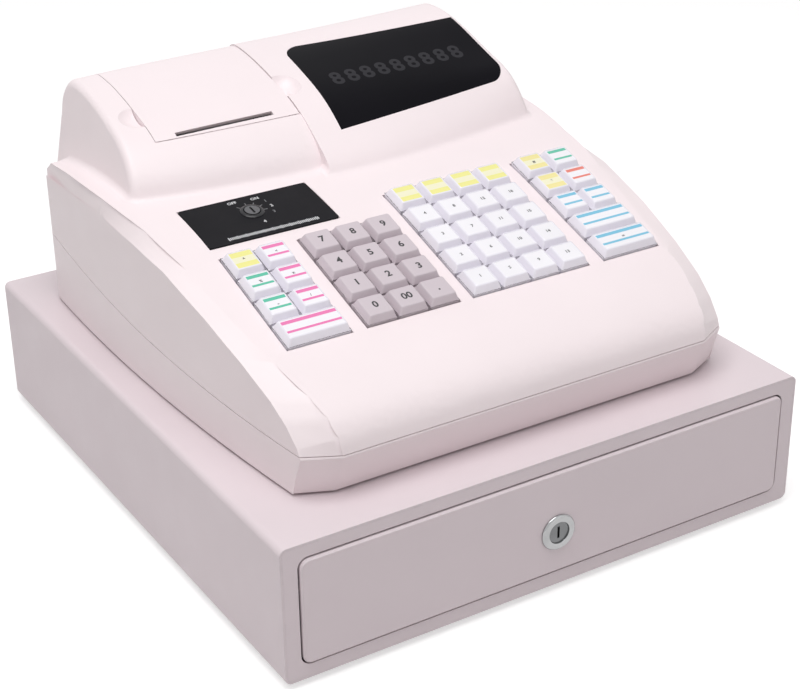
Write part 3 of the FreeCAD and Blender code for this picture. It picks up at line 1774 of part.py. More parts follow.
under_window = raised_display(size.window_sheet)
above_window = window_view(0.0).cut(under_window)
upper_cuts.append(sketch_shape("Window_recess", window_view(size.window_rim).cut(under_window)))
upper_cuts.append(sketch_shape("Window_opening", window_view(-size.window_ledge)))
keep(cut("Upper_housing", upper_shell, *upper_cuts), "upper_housing")

# Display window: a dark smoked sheet that follows the roof of the display housing.
keep_shape("display_window", above_window.common(display_outside))

# Display module: a board with the digit tube on it, hung from the roof behind the window.
module_lean = Rotation(X_AXIS, size.module_slope)
module_frame = Placement(Vector(0, size.module_place, size.module_height), module_lean)


def on_module(low, high):
    """A block lying on the display board."""
    shape = crate(low, high)
    shape.transformShape(module_frame.toMatrix())
    return shape


def module_shape():
    """The board, its tube, and four posts that reach the roof."""
    board = on_module((size.module_left, 0, 0), (size.module_right, size.module_length, size.module_sheet))
    tube = on_module(
        (size.module_left + size.tube_inset, size.tube_inset, size.module_sheet / 2),
        (size.module_right - size.tube_inset, size.module_length - size.tube_inset, size.tube_height),
    )
    pieces = [tube]
    for x in (size.module_left, size.module_right - size.post_side):
        for y in (0, size.module_length - size.post_side):
            corner = (x, y, size.module_sheet / 2)
            post = on_module(corner, (x + size.post_side, y + size.post_side, size.hump_rise))
            pieces.append(post.common(hollow))
    return board.fuse(pieces)


keep_shape("display_module", module_shape())

# Mode panel: a printed plastic plate that lies in a shallow recess of the deck, with a hole for the lock.
mode_blank = mode_block("Mode_blank", ("0", "0", "-mode_sheet"), ("mode_width", "mode_length", "0"))
doc.recompute()


def short_upright(edge):
    """The plate's four upright corners."""
    return abs(edge.Length - size.mode_sheet) < size.running_clearance


mode_round = rounded("Mode_round", mode_blank, size.mode_corner, short_upright)
rotor_hole = doc.addObject("Part::Cylinder", "Rotor_hole")
bind(rotor_hole, "Radius", "rotor_radius + running_clearance")
bind(rotor_hole, "Height", "2 * overrun")
on_mode(rotor_hole, "rotor_across", "rotor_along", "-overrun")
keep(cut("Mode_panel", mode_round, rotor_hole), "mode_panel")

# Mode lock rotor: a slotted brass core that turns in the panel.
rotor_core = doc.addObject("Part::Cylinder", "Rotor_core")
bind(rotor_core, "Radius", "rotor_radius")
bind(rotor_core, "Height", "rotor_depth + rotor_rise")
on_mode(rotor_core, "rotor_across", "rotor_along", "-rotor_depth")
rotor_slot = mode_block(
    "Rotor_slot",
    (
        "rotor_across - rotor_slot_half",
        "rotor_along - rotor_slot_reach",
        "rotor_rise - rotor_slot_depth",
    ),
    ("rotor_across + rotor_slot_half", "rotor_along + rotor_slot_reach", "overrun"),
)
keep(cut("Mode_lock_rotor", rotor_core, rotor_slot), "mode_lock_rotor")

# Keyboard frame: the guide plate under the deck, the switch board below it and the posts that hold both.
guide_left = "clear_block_left - guide_margin"
guide_right = "payment_block_left + 2 * key_pitch + guide_margin"
guide_front = "keys_front - guide_margin"
guide_back = "keys_front + 5 * key_pitch + guide_margin"
guide_parts = [
    deck_block(
        "Guide_plate",
        (guide_left, guide_front, "-guide_drop - guide_sheet"),
        (guide_right, guide_back, "-guide_drop"),
    ),
    deck_block(
        "Switch_board",
        (guide_left, guide_front, "-board_drop - board_sheet"),
        (guide_right, guide_back, "-board_drop"),
    ),
]
guide_posts = []
post_across = (
    guide_left,
    "(clear_block_left + 2 * key_pitch + number_block_left) / 2 - guide_post_half",
    "(number_block_left + 3 * key_pitch + department_block_left) / 2 - guide_post_half",
    "(department_block_left + 4 * key_pitch + payment_block_left) / 2 - guide_post_half",
    f"{guide_right} - 2 * guide_post_half",
)
post_along = (guide_front, f"{guide_back} - 2 * guide_post_half")
for n, x in enumerate(post_across):
    for m, y in enumerate(post_along):
        post_side = "2 * guide_post_half"
        guide_posts.append(
            deck_block(
                f"Guide_post_{n}_{m}",
                (x, y, "-board_drop - board_sheet / 2"),
                (f"{x} + {post_side}", f"{y} + {post_side}", "overrun"),
            )
        )
doc.recompute()
posts_to_deck = Part.makeCompound([post.Shape for post in guide_posts]).common(hollow)
guide_parts.append(sketch_shape("Guide_posts", posts_to_deck))
stem_holes = []


def stem_hole(name, across, along):
    """A square hole in the guide plate for one key's stem."""
    reach = "stem_half + stem_fit"
    stem_holes.append(
        deck_block(
            name,
            (f"{across} - ({reach})", f"{along} - ({reach})", "-guide_drop - guide_sheet - overrun / 2"),
            (f"{across} + {reach}", f"{along} + {reach}", "-guide_drop + overrun / 2"),
        )
    )


for label, block_name, column, row, cells in KEYS:
    stem_hole("Hole_for_" + label, *key_middle(block_name, column, row, cells))
for column in range(DEPARTMENT_COLUMNS):
    for row in range(DEPARTMENT_ROWS):
        stem_hole(f"Hole_for_department_{column}_{row}", *key_middle("department", column, row, 1))
keep(cut("Keyboard_frame", join("Keyboard_frame_blank", *guide_parts), *stem_holes), "keyboard_frame")


# Keys: a moulded cap with a straight skirt, a tapered crown and a square stem that runs in the guide plate.
def key_body(name, cells, across, along):
    """One key cap as a body of its own, laid on the deck."""
    body = new_body(name)
    half_long = f"({cells} * key_pitch - key_gap) / 2"
    half_deep = "(key_pitch - key_gap) / 2"
    skirt = new_sketch(body, name + "_skirt", "XY_Plane", "-key_skirt")
    draw_rectangle(skirt, half_long, half_deep)
    pad(body, skirt, "key_skirt + key_rim")
    crown = new_sketch(body, name + "_crown", "XY_Plane", "key_rim")
    draw_rectangle(crown, f"{half_long} - key_step", f"{half_deep} - key_step")
    pad(body, crown, "key_rise", taper="-key_taper")
    stem = new_sketch(body, name + "_stem", "XY_Plane", "-key_skirt")
    draw_rectangle(stem, "stem_half", "stem_half")
    pad(body, stem, "stem_length", back=True)
    return on_deck(body, across, along, "0")


key_sets = []
for label, block_name, column, row, cells in KEYS:
    body = key_body(label.title() + "_cap", cells, *key_middle(block_name, column, row, cells))
    key_sets.append((label, [body]))
for column in range(DEPARTMENT_COLUMNS):
    caps = [
        key_body(f"Department_cap_{column}_{row}", 1, *key_middle("department", column, row, 1))
        for row in range(DEPARTMENT_ROWS)
    ]
    key_sets.append((f"department_keys_column_{column + 1}", caps))
for label, caps in key_sets:
    keep(group(label.title(), *caps), label)

# Printer frame: a tub for the paper roll with two spindle stubs, the print head and four legs on the base.
well_middle = "(cover_left + cover_right) / 2"
well_inner = "roll_half + well_gap"
well_outer = "roll_half + well_gap + well_wall"
tub_blank = block(
    "Tub_blank",
    (f"{well_middle} - ({well_outer})", "well_front", "well_low"),
    (f"{well_middle} + {well_outer}", "well_back", "well_high"),
)
tub_scoop = rod(
    "Tub_scoop",
    "x",
    (f"{well_middle} - ({well_inner})", "roll_place", "roll_height"),
    "roll_radius + well_gap",
    f"2 * ({well_inner})",
)
tub_mouth = block(
    "Tub_mouth",
    (f"{well_middle} - ({well_inner})", "roll_place - roll_radius - well_gap", "roll_height"),
    (f"{well_middle} + {well_inner}", "roll_place + roll_radius + well_gap", "well_high + overrun"),
)
platen_well = block(
    "Platen_well",
    (f"{well_middle} - ({well_inner})", "well_front + well_wall", "platen_height - platen_radius - well_gap"),
    (f"{well_middle} + {well_inner}", "roll_place", "well_high + overrun"),
)
shaft_ways = rod(
    "Shaft_ways",
    "x",
    (f"{well_middle} - ({well_outer}) - overrun", "platen_place", "platen_height"),
    "platen_shaft_radius + running_clearance",
    f"2 * ({well_outer}) + 2 * overrun",
)
tub = cut("Tub", tub_blank, tub_scoop, tub_mouth, platen_well, shaft_ways)
stub_left = rod(
    "Stub_left",
    "x",
    (f"{well_middle} - ({well_inner}) - well_wall / 2", "roll_place", "roll_height"),
    "roll_core_radius - running_clearance",
    "spindle_reach",
)
stub_right = rod(
    "Stub_right",
    "x",
    (f"{well_middle} + {well_inner} + well_wall / 2 - spindle_reach", "roll_place", "roll_height"),
    "roll_core_radius - running_clearance",
    "spindle_reach",
)
print_head = block(
    "Print_head",
    (f"{well_middle} - head_half", "well_front + well_wall / 2", "head_low"),
    (f"{well_middle} + head_half", "head_front + head_depth", "head_high"),
)
legs = []
leg_places = (f"{well_middle} - ({well_outer})", f"{well_middle} + {well_outer} - 2 * guide_post_half")
for n, x in enumerate(leg_places):
    for m, y in enumerate(("well_front", "well_back - 2 * guide_post_half")):
        legs.append(
            block(
                f"Printer_leg_{n}_{m}",
                (x, y, "body_floor"),
                (f"{x} + 2 * guide_post_half", f"{y} + 2 * guide_post_half", "well_low + wall"),
            )
        )
keep(join("Printer_frame", tub, stub_left, stub_right, print_head, *legs), "printer_frame")

# Platen roller: a rubber sleeve on a steel shaft with a drive gear at its left end.
platen_half = f"{well_inner} - well_gap"
platen_outline = [
    ("0", f"-({well_outer}) - 2 * running_clearance - platen_gear_width"),
    ("platen_gear_radius", f"-({well_outer}) - 2 * running_clearance - platen_gear_width"),
    ("platen_gear_radius", f"-({well_outer}) - 2 * running_clearance"),
    ("platen_shaft_radius", f"-({well_outer}) - 2 * running_clearance"),
    ("platen_shaft_radius", f"-({platen_half})"),
    ("platen_radius", f"-({platen_half})"),
    ("platen_radius", platen_half),
    ("platen_shaft_radius", platen_half),
    ("platen_shaft_radius", f"{well_outer} + well_wall"),
    ("0", f"{well_outer} + well_wall"),
]
platen = turned("Platen", platen_outline, (well_middle, "platen_place", "platen_height"))
keep(group("Platen_set", platen), "platen_roller")

# Paper roll: a wound roll of plain paper on its core, turning on the tub's two stubs.
roll_outline = [
    ("roll_core_radius", "-roll_half"),
    ("roll_radius", "-roll_half"),
    ("roll_radius", "roll_half"),
    ("roll_core_radius", "roll_half"),
]
paper = turned("Paper", roll_outline, (well_middle, "roll_place", "roll_height"))
keep(group("Paper_set", paper), "paper_roll")


# Printer cover: the lid over the paper. Its two side skirts end in lobes whose pins turn in the cheeks.
def cover_shape():
    """The lid cut out of the housing's own skin, with its skirts and pins."""
    left = size.cover_left + size.cover_gap
    right = size.cover_right - size.cover_gap
    low = size.cover_height + size.cover_gap
    span = crate((left, size.hump_front, low), (right, size.body_back + size.overrun, size.hump_top))
    skirts = []
    for near, far in ((left, left + size.cover_skirt), (right - size.cover_skirt, right)):
        plate = crate((near, size.hump_front, low), (far, size.body_back, size.hump_top))
        start = hinge + X_AXIS * near
        lobe = Part.makeCylinder(size.cover_lobe, far - near, start, X_AXIS)
        skirts.append(plate.fuse(lobe).common(printer_outside))
    lid = outside.cut(cavity).common(span).fuse(skirts)
    low_back = crate(
        (left, size.cover_hinge_place, size.hump_foot), (right, size.body_back + size.overrun, hinge.z)
    )
    start = hinge + X_AXIS * (left - size.overrun)
    swing = Part.makeCylinder(
        size.cover_relief - size.cover_gap, right - left + 2 * size.overrun, start, X_AXIS
    )
    lid = lid.cut(low_back.cut(swing))
    pins = []
    for start, end in (
        (left - size.cover_pin_length, left + size.cover_skirt / 2),
        (right - size.cover_skirt / 2, right + size.cover_pin_length),
    ):
        pins.append(Part.makeCylinder(size.cover_pin_radius, end - start, hinge + X_AXIS * start, X_AXIS))
    lid = lid.fuse(pins)
    return lid


cover_blank = sketch_shape("Cover_blank", cover_shape())
keep(cut("Printer_cover", cover_blank, paper_slot), "printer_cover")

# Main board: the circuit board on the base's posts, with its larger components.
board_corner = ("main_left", "main_front", "main_height")
board_far_corner = ("main_right", "main_back", "main_height + main_sheet")
board_parts = [block("Board", board_corner, board_far_corner)]
# Each component: where it starts and ends along and across the board, and its height, as shares of the board
COMPONENT_SHARES = (
    (0.08, 0.55, 0.32, 0.88, 0.26),
    (0.42, 0.62, 0.66, 0.86, 0.04),
    (0.42, 0.15, 0.62, 0.35, 0.04),
    (0.74, 0.2, 0.94, 0.3, 0.08),
    (0.74, 0.7, 0.94, 0.8, 0.08),
)
for n, (near, front, far, back, rise) in enumerate(COMPONENT_SHARES):
    board_parts.append(
        block(
            f"Component_{n}",
            (
                f"main_left + {near} * (main_right - main_left)",
                f"main_front + {front} * (main_back - main_front)",
                "main_height + main_sheet / 2",
            ),
            (
                f"main_left + {far} * (main_right - main_left)",
                f"main_front + {back} * (main_back - main_front)",
                f"main_height + main_sheet + {rise} * (main_back - main_front)",
            ),
        )
    )
keep(join("Main_board", *board_parts), "main_board")


# Mains inlet: a bare two-pin socket in the back of the base, with its flange outside the wall.
def inlet_shape():
    """The socket's body, flange, well and pins."""
    left = size.inlet_place - size.inlet_half
    right = size.inlet_place + size.inlet_half
    front = size.body_back - size.inlet_depth
    back = size.body_back + size.inlet_flange_sheet
    body = crate((left, front, size.inlet_low), (right, back, size.inlet_high))
    flange = crate(
        (left - size.inlet_flange, size.body_back - size.back_lean, size.inlet_low - size.inlet_flange),
        (right + size.inlet_flange, back, size.inlet_high + size.inlet_flange),
    )
    flange = flange.cut(outside)
    well = crate(
        (left + size.inlet_well_inset, back - size.inlet_well, size.inlet_low + size.inlet_well_inset),
        (right - size.inlet_well_inset, back + size.overrun, size.inlet_high - size.inlet_well_inset),
    )
    pins = []
    for sign in (LEFT, RIGHT):
        start = Vector(
            size.inlet_place + sign * size.inlet_pin_half_pitch,
            back - size.inlet_well - size.wall / 2,
            (size.inlet_low + size.inlet_high) / 2,
        )
        length = size.inlet_pin_length + size.wall / 2
        pins.append(Part.makeCylinder(size.inlet_pin_radius, length, start, Y_AXIS))
    return body.fuse(flange).cut(well).fuse(pins)


keep_shape("power_inlet", inlet_shape())

# Every object is checked before anything is written.
doc.recompute()
for thing in doc.Objects:
    if "Invalid" in thing.State or "Error" in thing.State:
        raise RuntimeError(f"{thing.Label} failed: {thing.State} {thing.getStatusString()}")
for thing in PARTS:
    if thing.Shape.isNull() or not thing.Shape.isValid() or not thing.Shape.Solids:
        raise RuntimeError(f"{thing.Label} has no valid solid")
os.makedirs("parts", exist_ok=True)
for thing in PARTS:
    thing.Shape.exportStep(f"parts/{thing.Label}.step")
print(len(PARTS), "pieces written")
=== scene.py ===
import json
import math

import bmesh
import bpy
from mathutils import Matrix, Vector


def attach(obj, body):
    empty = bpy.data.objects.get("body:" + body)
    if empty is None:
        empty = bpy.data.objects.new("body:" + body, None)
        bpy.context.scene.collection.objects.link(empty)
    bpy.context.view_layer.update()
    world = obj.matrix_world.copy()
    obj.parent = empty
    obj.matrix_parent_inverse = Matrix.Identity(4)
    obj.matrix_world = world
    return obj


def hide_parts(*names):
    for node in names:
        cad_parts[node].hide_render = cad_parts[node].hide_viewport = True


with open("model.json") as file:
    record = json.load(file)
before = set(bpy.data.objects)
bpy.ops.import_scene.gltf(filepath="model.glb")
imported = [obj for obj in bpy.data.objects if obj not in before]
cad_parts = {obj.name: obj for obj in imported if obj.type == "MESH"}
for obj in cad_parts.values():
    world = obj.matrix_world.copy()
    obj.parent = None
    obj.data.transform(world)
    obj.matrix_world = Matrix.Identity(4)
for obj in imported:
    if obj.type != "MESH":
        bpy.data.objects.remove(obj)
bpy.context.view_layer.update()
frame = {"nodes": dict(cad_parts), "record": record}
nodes = frame["nodes"]


# The studio: a pale floor that runs to the horizon, soft lamps overhead, in front and on the left,
# and the camera where the photograph was taken from, to the left of the register and above it.
MM = 0.001
FILM_WIDTH = 36.0
LENS = 82.2
CAMERA_PLACE = (-496.0 * MM, -841.1 * MM, 567.3 * MM)
CAMERA_TURN = (63.076, 0.769, -31.696)
FLOOR_HALF = 30.0
FLOOR_COLOUR = (0.60, 0.59, 0.59)
FLOOR_GLOW = 0.56
SKY_LIGHT = 0.40
SKY_SEEN = 1.0
LAMPS = (
    ("overhead_lamp", (-0.35, -0.35, 1.75), 1.3, 22.5),
    ("front_lamp", (0.9, -1.9, 0.8), 1.2, 1.8),
    ("left_lamp", (-1.8, 0.6, 1.0), 1.2, 1.5),
)
LAMP_AIM = Vector((0.0, 0.0, 0.1))

camera_data = bpy.data.cameras.new("Camera")
camera_data.sensor_width = FILM_WIDTH
camera_data.lens = LENS
camera = bpy.data.objects.new("Camera", camera_data)
camera.location = CAMERA_PLACE
camera.rotation_euler = [math.radians(turn) for turn in CAMERA_TURN]
bpy.context.scene.collection.objects.link(camera)
bpy.context.scene.camera = camera
bpy.context.scene.view_settings.view_transform = "Standard"

for lamp_name, lamp_place, lamp_side, lamp_watts in LAMPS:
    lamp_data = bpy.data.lights.new(lamp_name, "AREA")
    lamp_data.shape = "SQUARE"
    lamp_data.size = lamp_side
    lamp_data.energy = lamp_watts
    lamp = bpy.data.objects.new(lamp_name, lamp_data)
    lamp.location = lamp_place
    lamp.rotation_euler = (LAMP_AIM - lamp.location).to_track_quat("-Z", "Y").to_euler()
    bpy.context.scene.collection.objects.link(lamp)


def wire(tree, source, target):
    """Join an output socket to an input socket, each given as (node, socket name or number)."""
    tree.links.new(source[0].outputs[source[1]], target[0].inputs[target[1]])


def math_node(tree, operation, *values):
    """A math node whose inputs are numbers or (node, socket) pairs."""
    node = tree.nodes.new("ShaderNodeMath")
    node.operation = operation
    for place, value in enumerate(values):
        if isinstance(value, tuple):
            wire(tree, value, (node, place))
        else:
            node.inputs[place].default_value = value
    return node


def seen_rays(tree):
    """1 for camera, mirror and glass rays, which are shown the plain white backdrop."""
    path = tree.nodes.new("ShaderNodeLightPath")
    mirror = math_node(tree, "MAXIMUM", (path, "Is Glossy Ray"), (path, "Is Transmission Ray"))
    return math_node(tree, "MAXIMUM", (path, "Is Camera Ray"), (mirror, 0))


world = bpy.data.worlds.new("Studio")
bpy.context.scene.world = world
world.use_nodes = True
sky = world.node_tree.nodes["Background"]
sky_seen = seen_rays(world.node_tree)
sky_strength = math_node(world.node_tree, "MULTIPLY_ADD", (sky_seen, 0), SKY_SEEN - SKY_LIGHT, SKY_LIGHT)
wire(world.node_tree, (sky_strength, 0), (sky, "Strength"))
sky.inputs["Color"].default_value = (1.0, 1.0, 1.0, 1.0)

floor_mesh = bmesh.new()
bmesh.ops.create_grid(floor_mesh, x_segments=1, y_segments=1, size=FLOOR_HALF)
floor_data = bpy.data.meshes.new("floor")
floor_mesh.to_mesh(floor_data)
floor_mesh.free()
floor = bpy.data.objects.new("floor", floor_data)
bpy.context.scene.collection.objects.link(floor)
floor_finish = bpy.data.materials.new("pale_floor")
floor_finish.use_nodes = True
floor_shader = floor_finish.node_tree.nodes["Principled BSDF"]
floor_shader.inputs["Base Color"].default_value = (*FLOOR_COLOUR, 1.0)
floor_shader.inputs["Roughness"].default_value = 0.9
floor_shader.inputs["Emission Color"].default_value = (1.0, 1.0, 1.0, 1.0)
floor_glow = math_node(floor_finish.node_tree, "MULTIPLY", (seen_rays(floor_finish.node_tree), 0), FLOOR_GLOW)
wire(floor_finish.node_tree, (floor_glow, 0), (floor_shader, "Emission Strength"))
floor_data.materials.append(floor_finish)


# Drawer case: a box of folded sheet steel, powder coated off-white, with a fine orange peel. The
# roller rails inside are welded to it, and its edges are worn a little.
CASE_FRONT = -182.5
CASE_PAINT = (0.74, 0.645, 0.675)
CASE_ROUGHNESS = 0.42
PEEL_PER_METRE = 1100.0
PEEL_DEPTH = 0.00003
CASE_EDGE = 0.35


def effect_group(name, inputs, outputs):
    """An empty node group for an effect that several finishes share, with named inputs and outputs."""
    tree = bpy.data.node_groups.new(name, "ShaderNodeTree")
    for socket, value in inputs.items():
        made = tree.interface.new_socket(name=socket, in_out="INPUT", socket_type="NodeSocketFloat")
        made.default_value = value
    for socket in outputs:
        tree.interface.new_socket(name=socket, in_out="OUTPUT", socket_type="NodeSocketFloat")
    return tree, tree.nodes.new("NodeGroupInput"), tree.nodes.new("NodeGroupOutput")


def noise(tree, place, per_metre, detail=2.0, roughness=0.5):
    """A noise texture; place and per_metre are (node, socket) pairs or numbers."""
    node = tree.nodes.new("ShaderNodeTexNoise")
    node.inputs["Detail"].default_value = detail
    node.inputs["Roughness"].default_value = roughness
    wire(tree, place, (node, "Vector"))
    if isinstance(per_metre, tuple):
        wire(tree, per_metre, (node, "Scale"))
    else:
        node.inputs["Scale"].default_value = per_metre
    return node


def ramp(tree, value, low, high, to_low=0.0, to_high=1.0):
    """Map a value from one range to another, held at both ends."""
    node = tree.nodes.new("ShaderNodeMapRange")
    wire(tree, value, (node, "Value"))
    for socket, number in (("From Min", low), ("From Max", high), ("To Min", to_low), ("To Max", to_high)):
        node.inputs[socket].default_value = number
    return node


def surface_group():
    """Grain for moulded and painted surfaces: a fine height, a slow change of tone and handled patches."""
    tree, ins, outs = effect_group(
        "Surface grain",
        {"Grain per metre": 1000.0, "Patches per metre": 14.0},
        ("Height", "Tone", "Handling"),
    )
    place = tree.nodes.new("ShaderNodeTexCoord")
    fine = noise(tree, (place, "Object"), (ins, "Grain per metre"), detail=3.0, roughness=0.6)
    slow = noise(tree, (place, "Object"), (ins, "Patches per metre"), detail=3.0)
    patch_scale = math_node(tree, "MULTIPLY", (ins, "Patches per metre"), 2.7)
    patches = noise(tree, (place, "Object"), (patch_scale, 0), detail=4.0, roughness=0.65)
    wire(tree, (fine, 0), (outs, "Height"))
    wire(tree, (ramp(tree, (slow, 0), 0.3, 0.7), 0), (outs, "Tone"))
    wire(tree, (ramp(tree, (patches, 0), 0.45, 0.75), 0), (outs, "Handling"))
    return tree


def wear_group():
    """Worn edges: how far a surface turns within a small distance, broken up by noise."""
    tree, ins, outs = effect_group("Worn edges", {"Breaks per metre": 160.0}, ("Wear",))
    place = tree.nodes.new("ShaderNodeTexCoord")
    here = tree.nodes.new("ShaderNodeNewGeometry")
    rounded = tree.nodes.new("ShaderNodeBevel")
    rounded.samples = 4
    rounded.inputs["Radius"].default_value = 0.0009
    turn = tree.nodes.new("ShaderNodeVectorMath")
    turn.operation = "DOT_PRODUCT"
    wire(tree, (rounded, "Normal"), (turn, 0))
    wire(tree, (here, "Normal"), (turn, 1))
    edge = ramp(tree, (turn, "Value"), 0.99, 0.86)
    breaks = noise(tree, (place, "Object"), (ins, "Breaks per metre"), detail=4.0, roughness=0.7)
    worn = math_node(tree, "MULTIPLY", (edge, 0), (ramp(tree, (breaks, 0), 0.42, 0.62), 0))
    wire(tree, (worn, 0), (outs, "Wear"))
    return tree


SURFACE_GRAIN = surface_group()
WORN_EDGES = wear_group()


def place_group(tree, group, **values):
    """One use of an effect group in a material, with its own values."""
    node = tree.nodes.new("ShaderNodeGroup")
    node.node_tree = group
    for socket, value in values.items():
        node.inputs[socket.replace("_", " ")].default_value = value
    return node


def mix_colours(tree, share, first, second):
    """Mix two colours; share and either colour may be a (node, socket) pair."""
    node = tree.nodes.new("ShaderNodeMix")
    node.data_type = "RGBA"
    wire(tree, share, (node, "Factor"))
    for socket, colour in ((6, first), (7, second)):
        if isinstance(colour[0], bpy.types.Node):
            wire(tree, colour, (node, socket))
        else:
            node.inputs[socket].default_value = (*colour, 1.0)
    return node


def bumped(tree, shader, height, depth):
    """Feed a height into the shader's normal as a bump of a real depth in metres."""
    bump = tree.nodes.new("ShaderNodeBump")
    bump.inputs["Distance"].default_value = depth
    wire(tree, height, (bump, "Height"))
    wire(tree, (bump, "Normal"), (shader, "Normal"))


def grained(name, colour, roughness, per_metre, depth, shade=0.93, handled=0.10, worn=None, **sockets):
    """A moulded or painted finish: grain, a slow change of tone, handled patches and worn edges."""
    finish = bpy.data.materials.new(name)
    finish.use_nodes = True
    tree = finish.node_tree
    shader = tree.nodes["Principled BSDF"]
    grain = place_group(tree, SURFACE_GRAIN, Grain_per_metre=per_metre)
    darker = tuple(channel * shade for channel in colour)
    tone = mix_colours(tree, (grain, "Tone"), colour, darker)
    if worn:
        wear = place_group(tree, WORN_EDGES)
        tone = mix_colours(tree, (wear, "Wear"), (tone, 2), worn)
    wire(tree, (tone, 2), (shader, "Base Color"))
    rough = ramp(tree, (grain, "Handling"), 0.0, 1.0, roughness + handled / 2, roughness - handled / 2)
    wire(tree, (rough, 0), (shader, "Roughness"))
    bumped(tree, shader, (grain, "Height"), depth)
    for socket, value in sockets.items():
        shader.inputs[socket.replace("_", " ")].default_value = value
    return finish


def dress(name, finish, edge=0.3, segments=2, angle=32.0):
    """Finish a CAD node as it is: doubles merged, flat faces kept flat, edges broken by edge mm."""
    piece = nodes[name]
    for holder in piece.material_slots:
        holder.material = finish
    for face in piece.data.polygons:
        face.use_smooth = True
    weld = piece.modifiers.new("Merge doubles", "WELD")
    weld.merge_threshold = 0.00001
    if edge:
        flat = piece.modifiers.new("Flat faces", "DECIMATE")
        flat.decimate_type = "DISSOLVE"
        flat.angle_limit = math.radians(0.5)
        bevel = piece.modifiers.new("Broken edges", "BEVEL")
        bevel.width = edge * MM
        bevel.segments = segments
        bevel.limit_method = "ANGLE"
        bevel.angle_limit = math.radians(angle)
        bevel.use_clamp_overlap = True
    split = piece.modifiers.new("Sharp by angle", "EDGE_SPLIT")
    split.split_angle = math.radians(angle)
    weighted = piece.modifiers.new("Flat faces lead", "WEIGHTED_NORMAL")
    weighted.keep_sharp = True
    return piece


case_paint = grained(
    "case_paint", CASE_PAINT, CASE_ROUGHNESS, PEEL_PER_METRE, PEEL_DEPTH, shade=0.97, worn=(0.62, 0.55, 0.57)
)
dress("drawer_case", case_paint, edge=CASE_EDGE, segments=3)


# Drawer front frame: a flanged steel plate in the case's mouth, in the same paint. It is spot welded
# there, and the drawer's front shuts into it.
dress("drawer_front_frame", case_paint, edge=0.15)


# Rubber feet: four moulded pads of black rubber, fixed under the case. They lift its steel floor
# off the counter.
rubber = grained("black_rubber", (0.022, 0.021, 0.021), 0.8, 2600.0, 0.00004)
dress("rubber_feet", rubber, edge=0.6)


# Rollers: two pairs of turned nylon wheels on fixed pins, one pair on the case and one on the drawer.
# They carry the drawer on its rails.
nylon = grained("natural_nylon", (0.82, 0.80, 0.74), 0.38, 900.0, 0.00001, Subsurface_Weight=0.15)
nylon.node_tree.nodes["Principled BSDF"].inputs["Subsurface Radius"].default_value = (0.002, 0.002, 0.0015)
dress("case_rollers", nylon, edge=0.25)
dress("drawer_rollers", nylon, edge=0.25)


# Drawer box: zinc-plated steel sheet, folded and spot welded, with a runner along each side. Rolled
# metal shows long scratches and cloudy patches.
ZINC = (0.56, 0.57, 0.58)


def brushed_group():
    """Rolled or brushed metal: long scratches one way, with cloudy patches between them."""
    tree, ins, outs = effect_group(
        "Rolled metal",
        {"Across per metre": 3000.0, "Along per metre": 60.0},
        ("Height", "Tone"),
    )
    place = tree.nodes.new("ShaderNodeTexCoord")
    stretch = tree.nodes.new("ShaderNodeMapping")
    scale = tree.nodes.new("ShaderNodeCombineXYZ")
    wire(tree, (ins, "Across per metre"), (scale, "X"))
    wire(tree, (ins, "Along per metre"), (scale, "Y"))
    wire(tree, (ins, "Across per metre"), (scale, "Z"))
    wire(tree, (place, "Object"), (stretch, "Vector"))
    wire(tree, (scale, 0), (stretch, "Scale"))
    scratches = noise(tree, (stretch, 0), 1.0, detail=3.0, roughness=0.6)
    clouds = noise(tree, (place, "Object"), 70.0, detail=4.0, roughness=0.6)
    half_clouds = math_node(tree, "MULTIPLY", (clouds, 0), 0.5)
    both = math_node(tree, "MULTIPLY_ADD", (scratches, 0), 0.5, (half_clouds, 0))
    wire(tree, (scratches, 0), (outs, "Height"))
    wire(tree, (ramp(tree, (both, 0), 0.35, 0.65), 0), (outs, "Tone"))
    return tree


ROLLED_METAL = brushed_group()


def metal(name, colour, roughness, across=3000.0, along=60.0, depth=0.000004, shade=0.8, spread=0.12):
    """A bare or plated metal finish with fine scratches along Y and a cloudy tone."""
    finish = bpy.data.materials.new(name)
    finish.use_nodes = True
    tree = finish.node_tree
    shader = tree.nodes["Principled BSDF"]
    shader.inputs["Metallic"].default_value = 1.0
    rolled = place_group(tree, ROLLED_METAL, Across_per_metre=across, Along_per_metre=along)
    darker = tuple(channel * shade for channel in colour)
    tone = mix_colours(tree, (rolled, "Tone"), colour, darker)
    wire(tree, (tone, 2), (shader, "Base Color"))
    rough = ramp(tree, (rolled, "Tone"), 0.0, 1.0, roughness, roughness + spread)
    wire(tree, (rough, 0), (shader, "Roughness"))
    bumped(tree, shader, (rolled, "Height"), depth)
    return finish


zinc = metal("zinc_steel", ZINC, 0.32)
dress("drawer_box", zinc, edge=0.3)


# Drawer front panel: a steel pressing with a bevelled rim, in the same paint as the case. It is
# fixed to the drawer box.
dress("drawer_front_panel", case_paint, edge=0.35)


# Drawer lock: a chromed barrel with a raised rim, fixed through the drawer's front, and a darker
# plug with its keyway that turns the cam.
chrome = metal("chrome", (0.45, 0.455, 0.46), 0.09, across=5000.0, along=5000.0, depth=0.000001, spread=0.05)
dress("drawer_lock_barrel", chrome, edge=0.3)
plug_metal = metal("plug_metal", (0.20, 0.205, 0.21), 0.22, across=5000.0, along=5000.0, spread=0.08)
dress("drawer_lock_plug", plug_metal, edge=0.2)


# Till tray: one black plastic moulding with four note bays and two rows of coin cups. It stands in
# the drawer box.
tray_plastic = grained("tray_plastic", (0.028, 0.028, 0.031), 0.5, 1500.0, 0.00003, shade=0.8)
dress("till_tray", tray_plastic, edge=0.5)


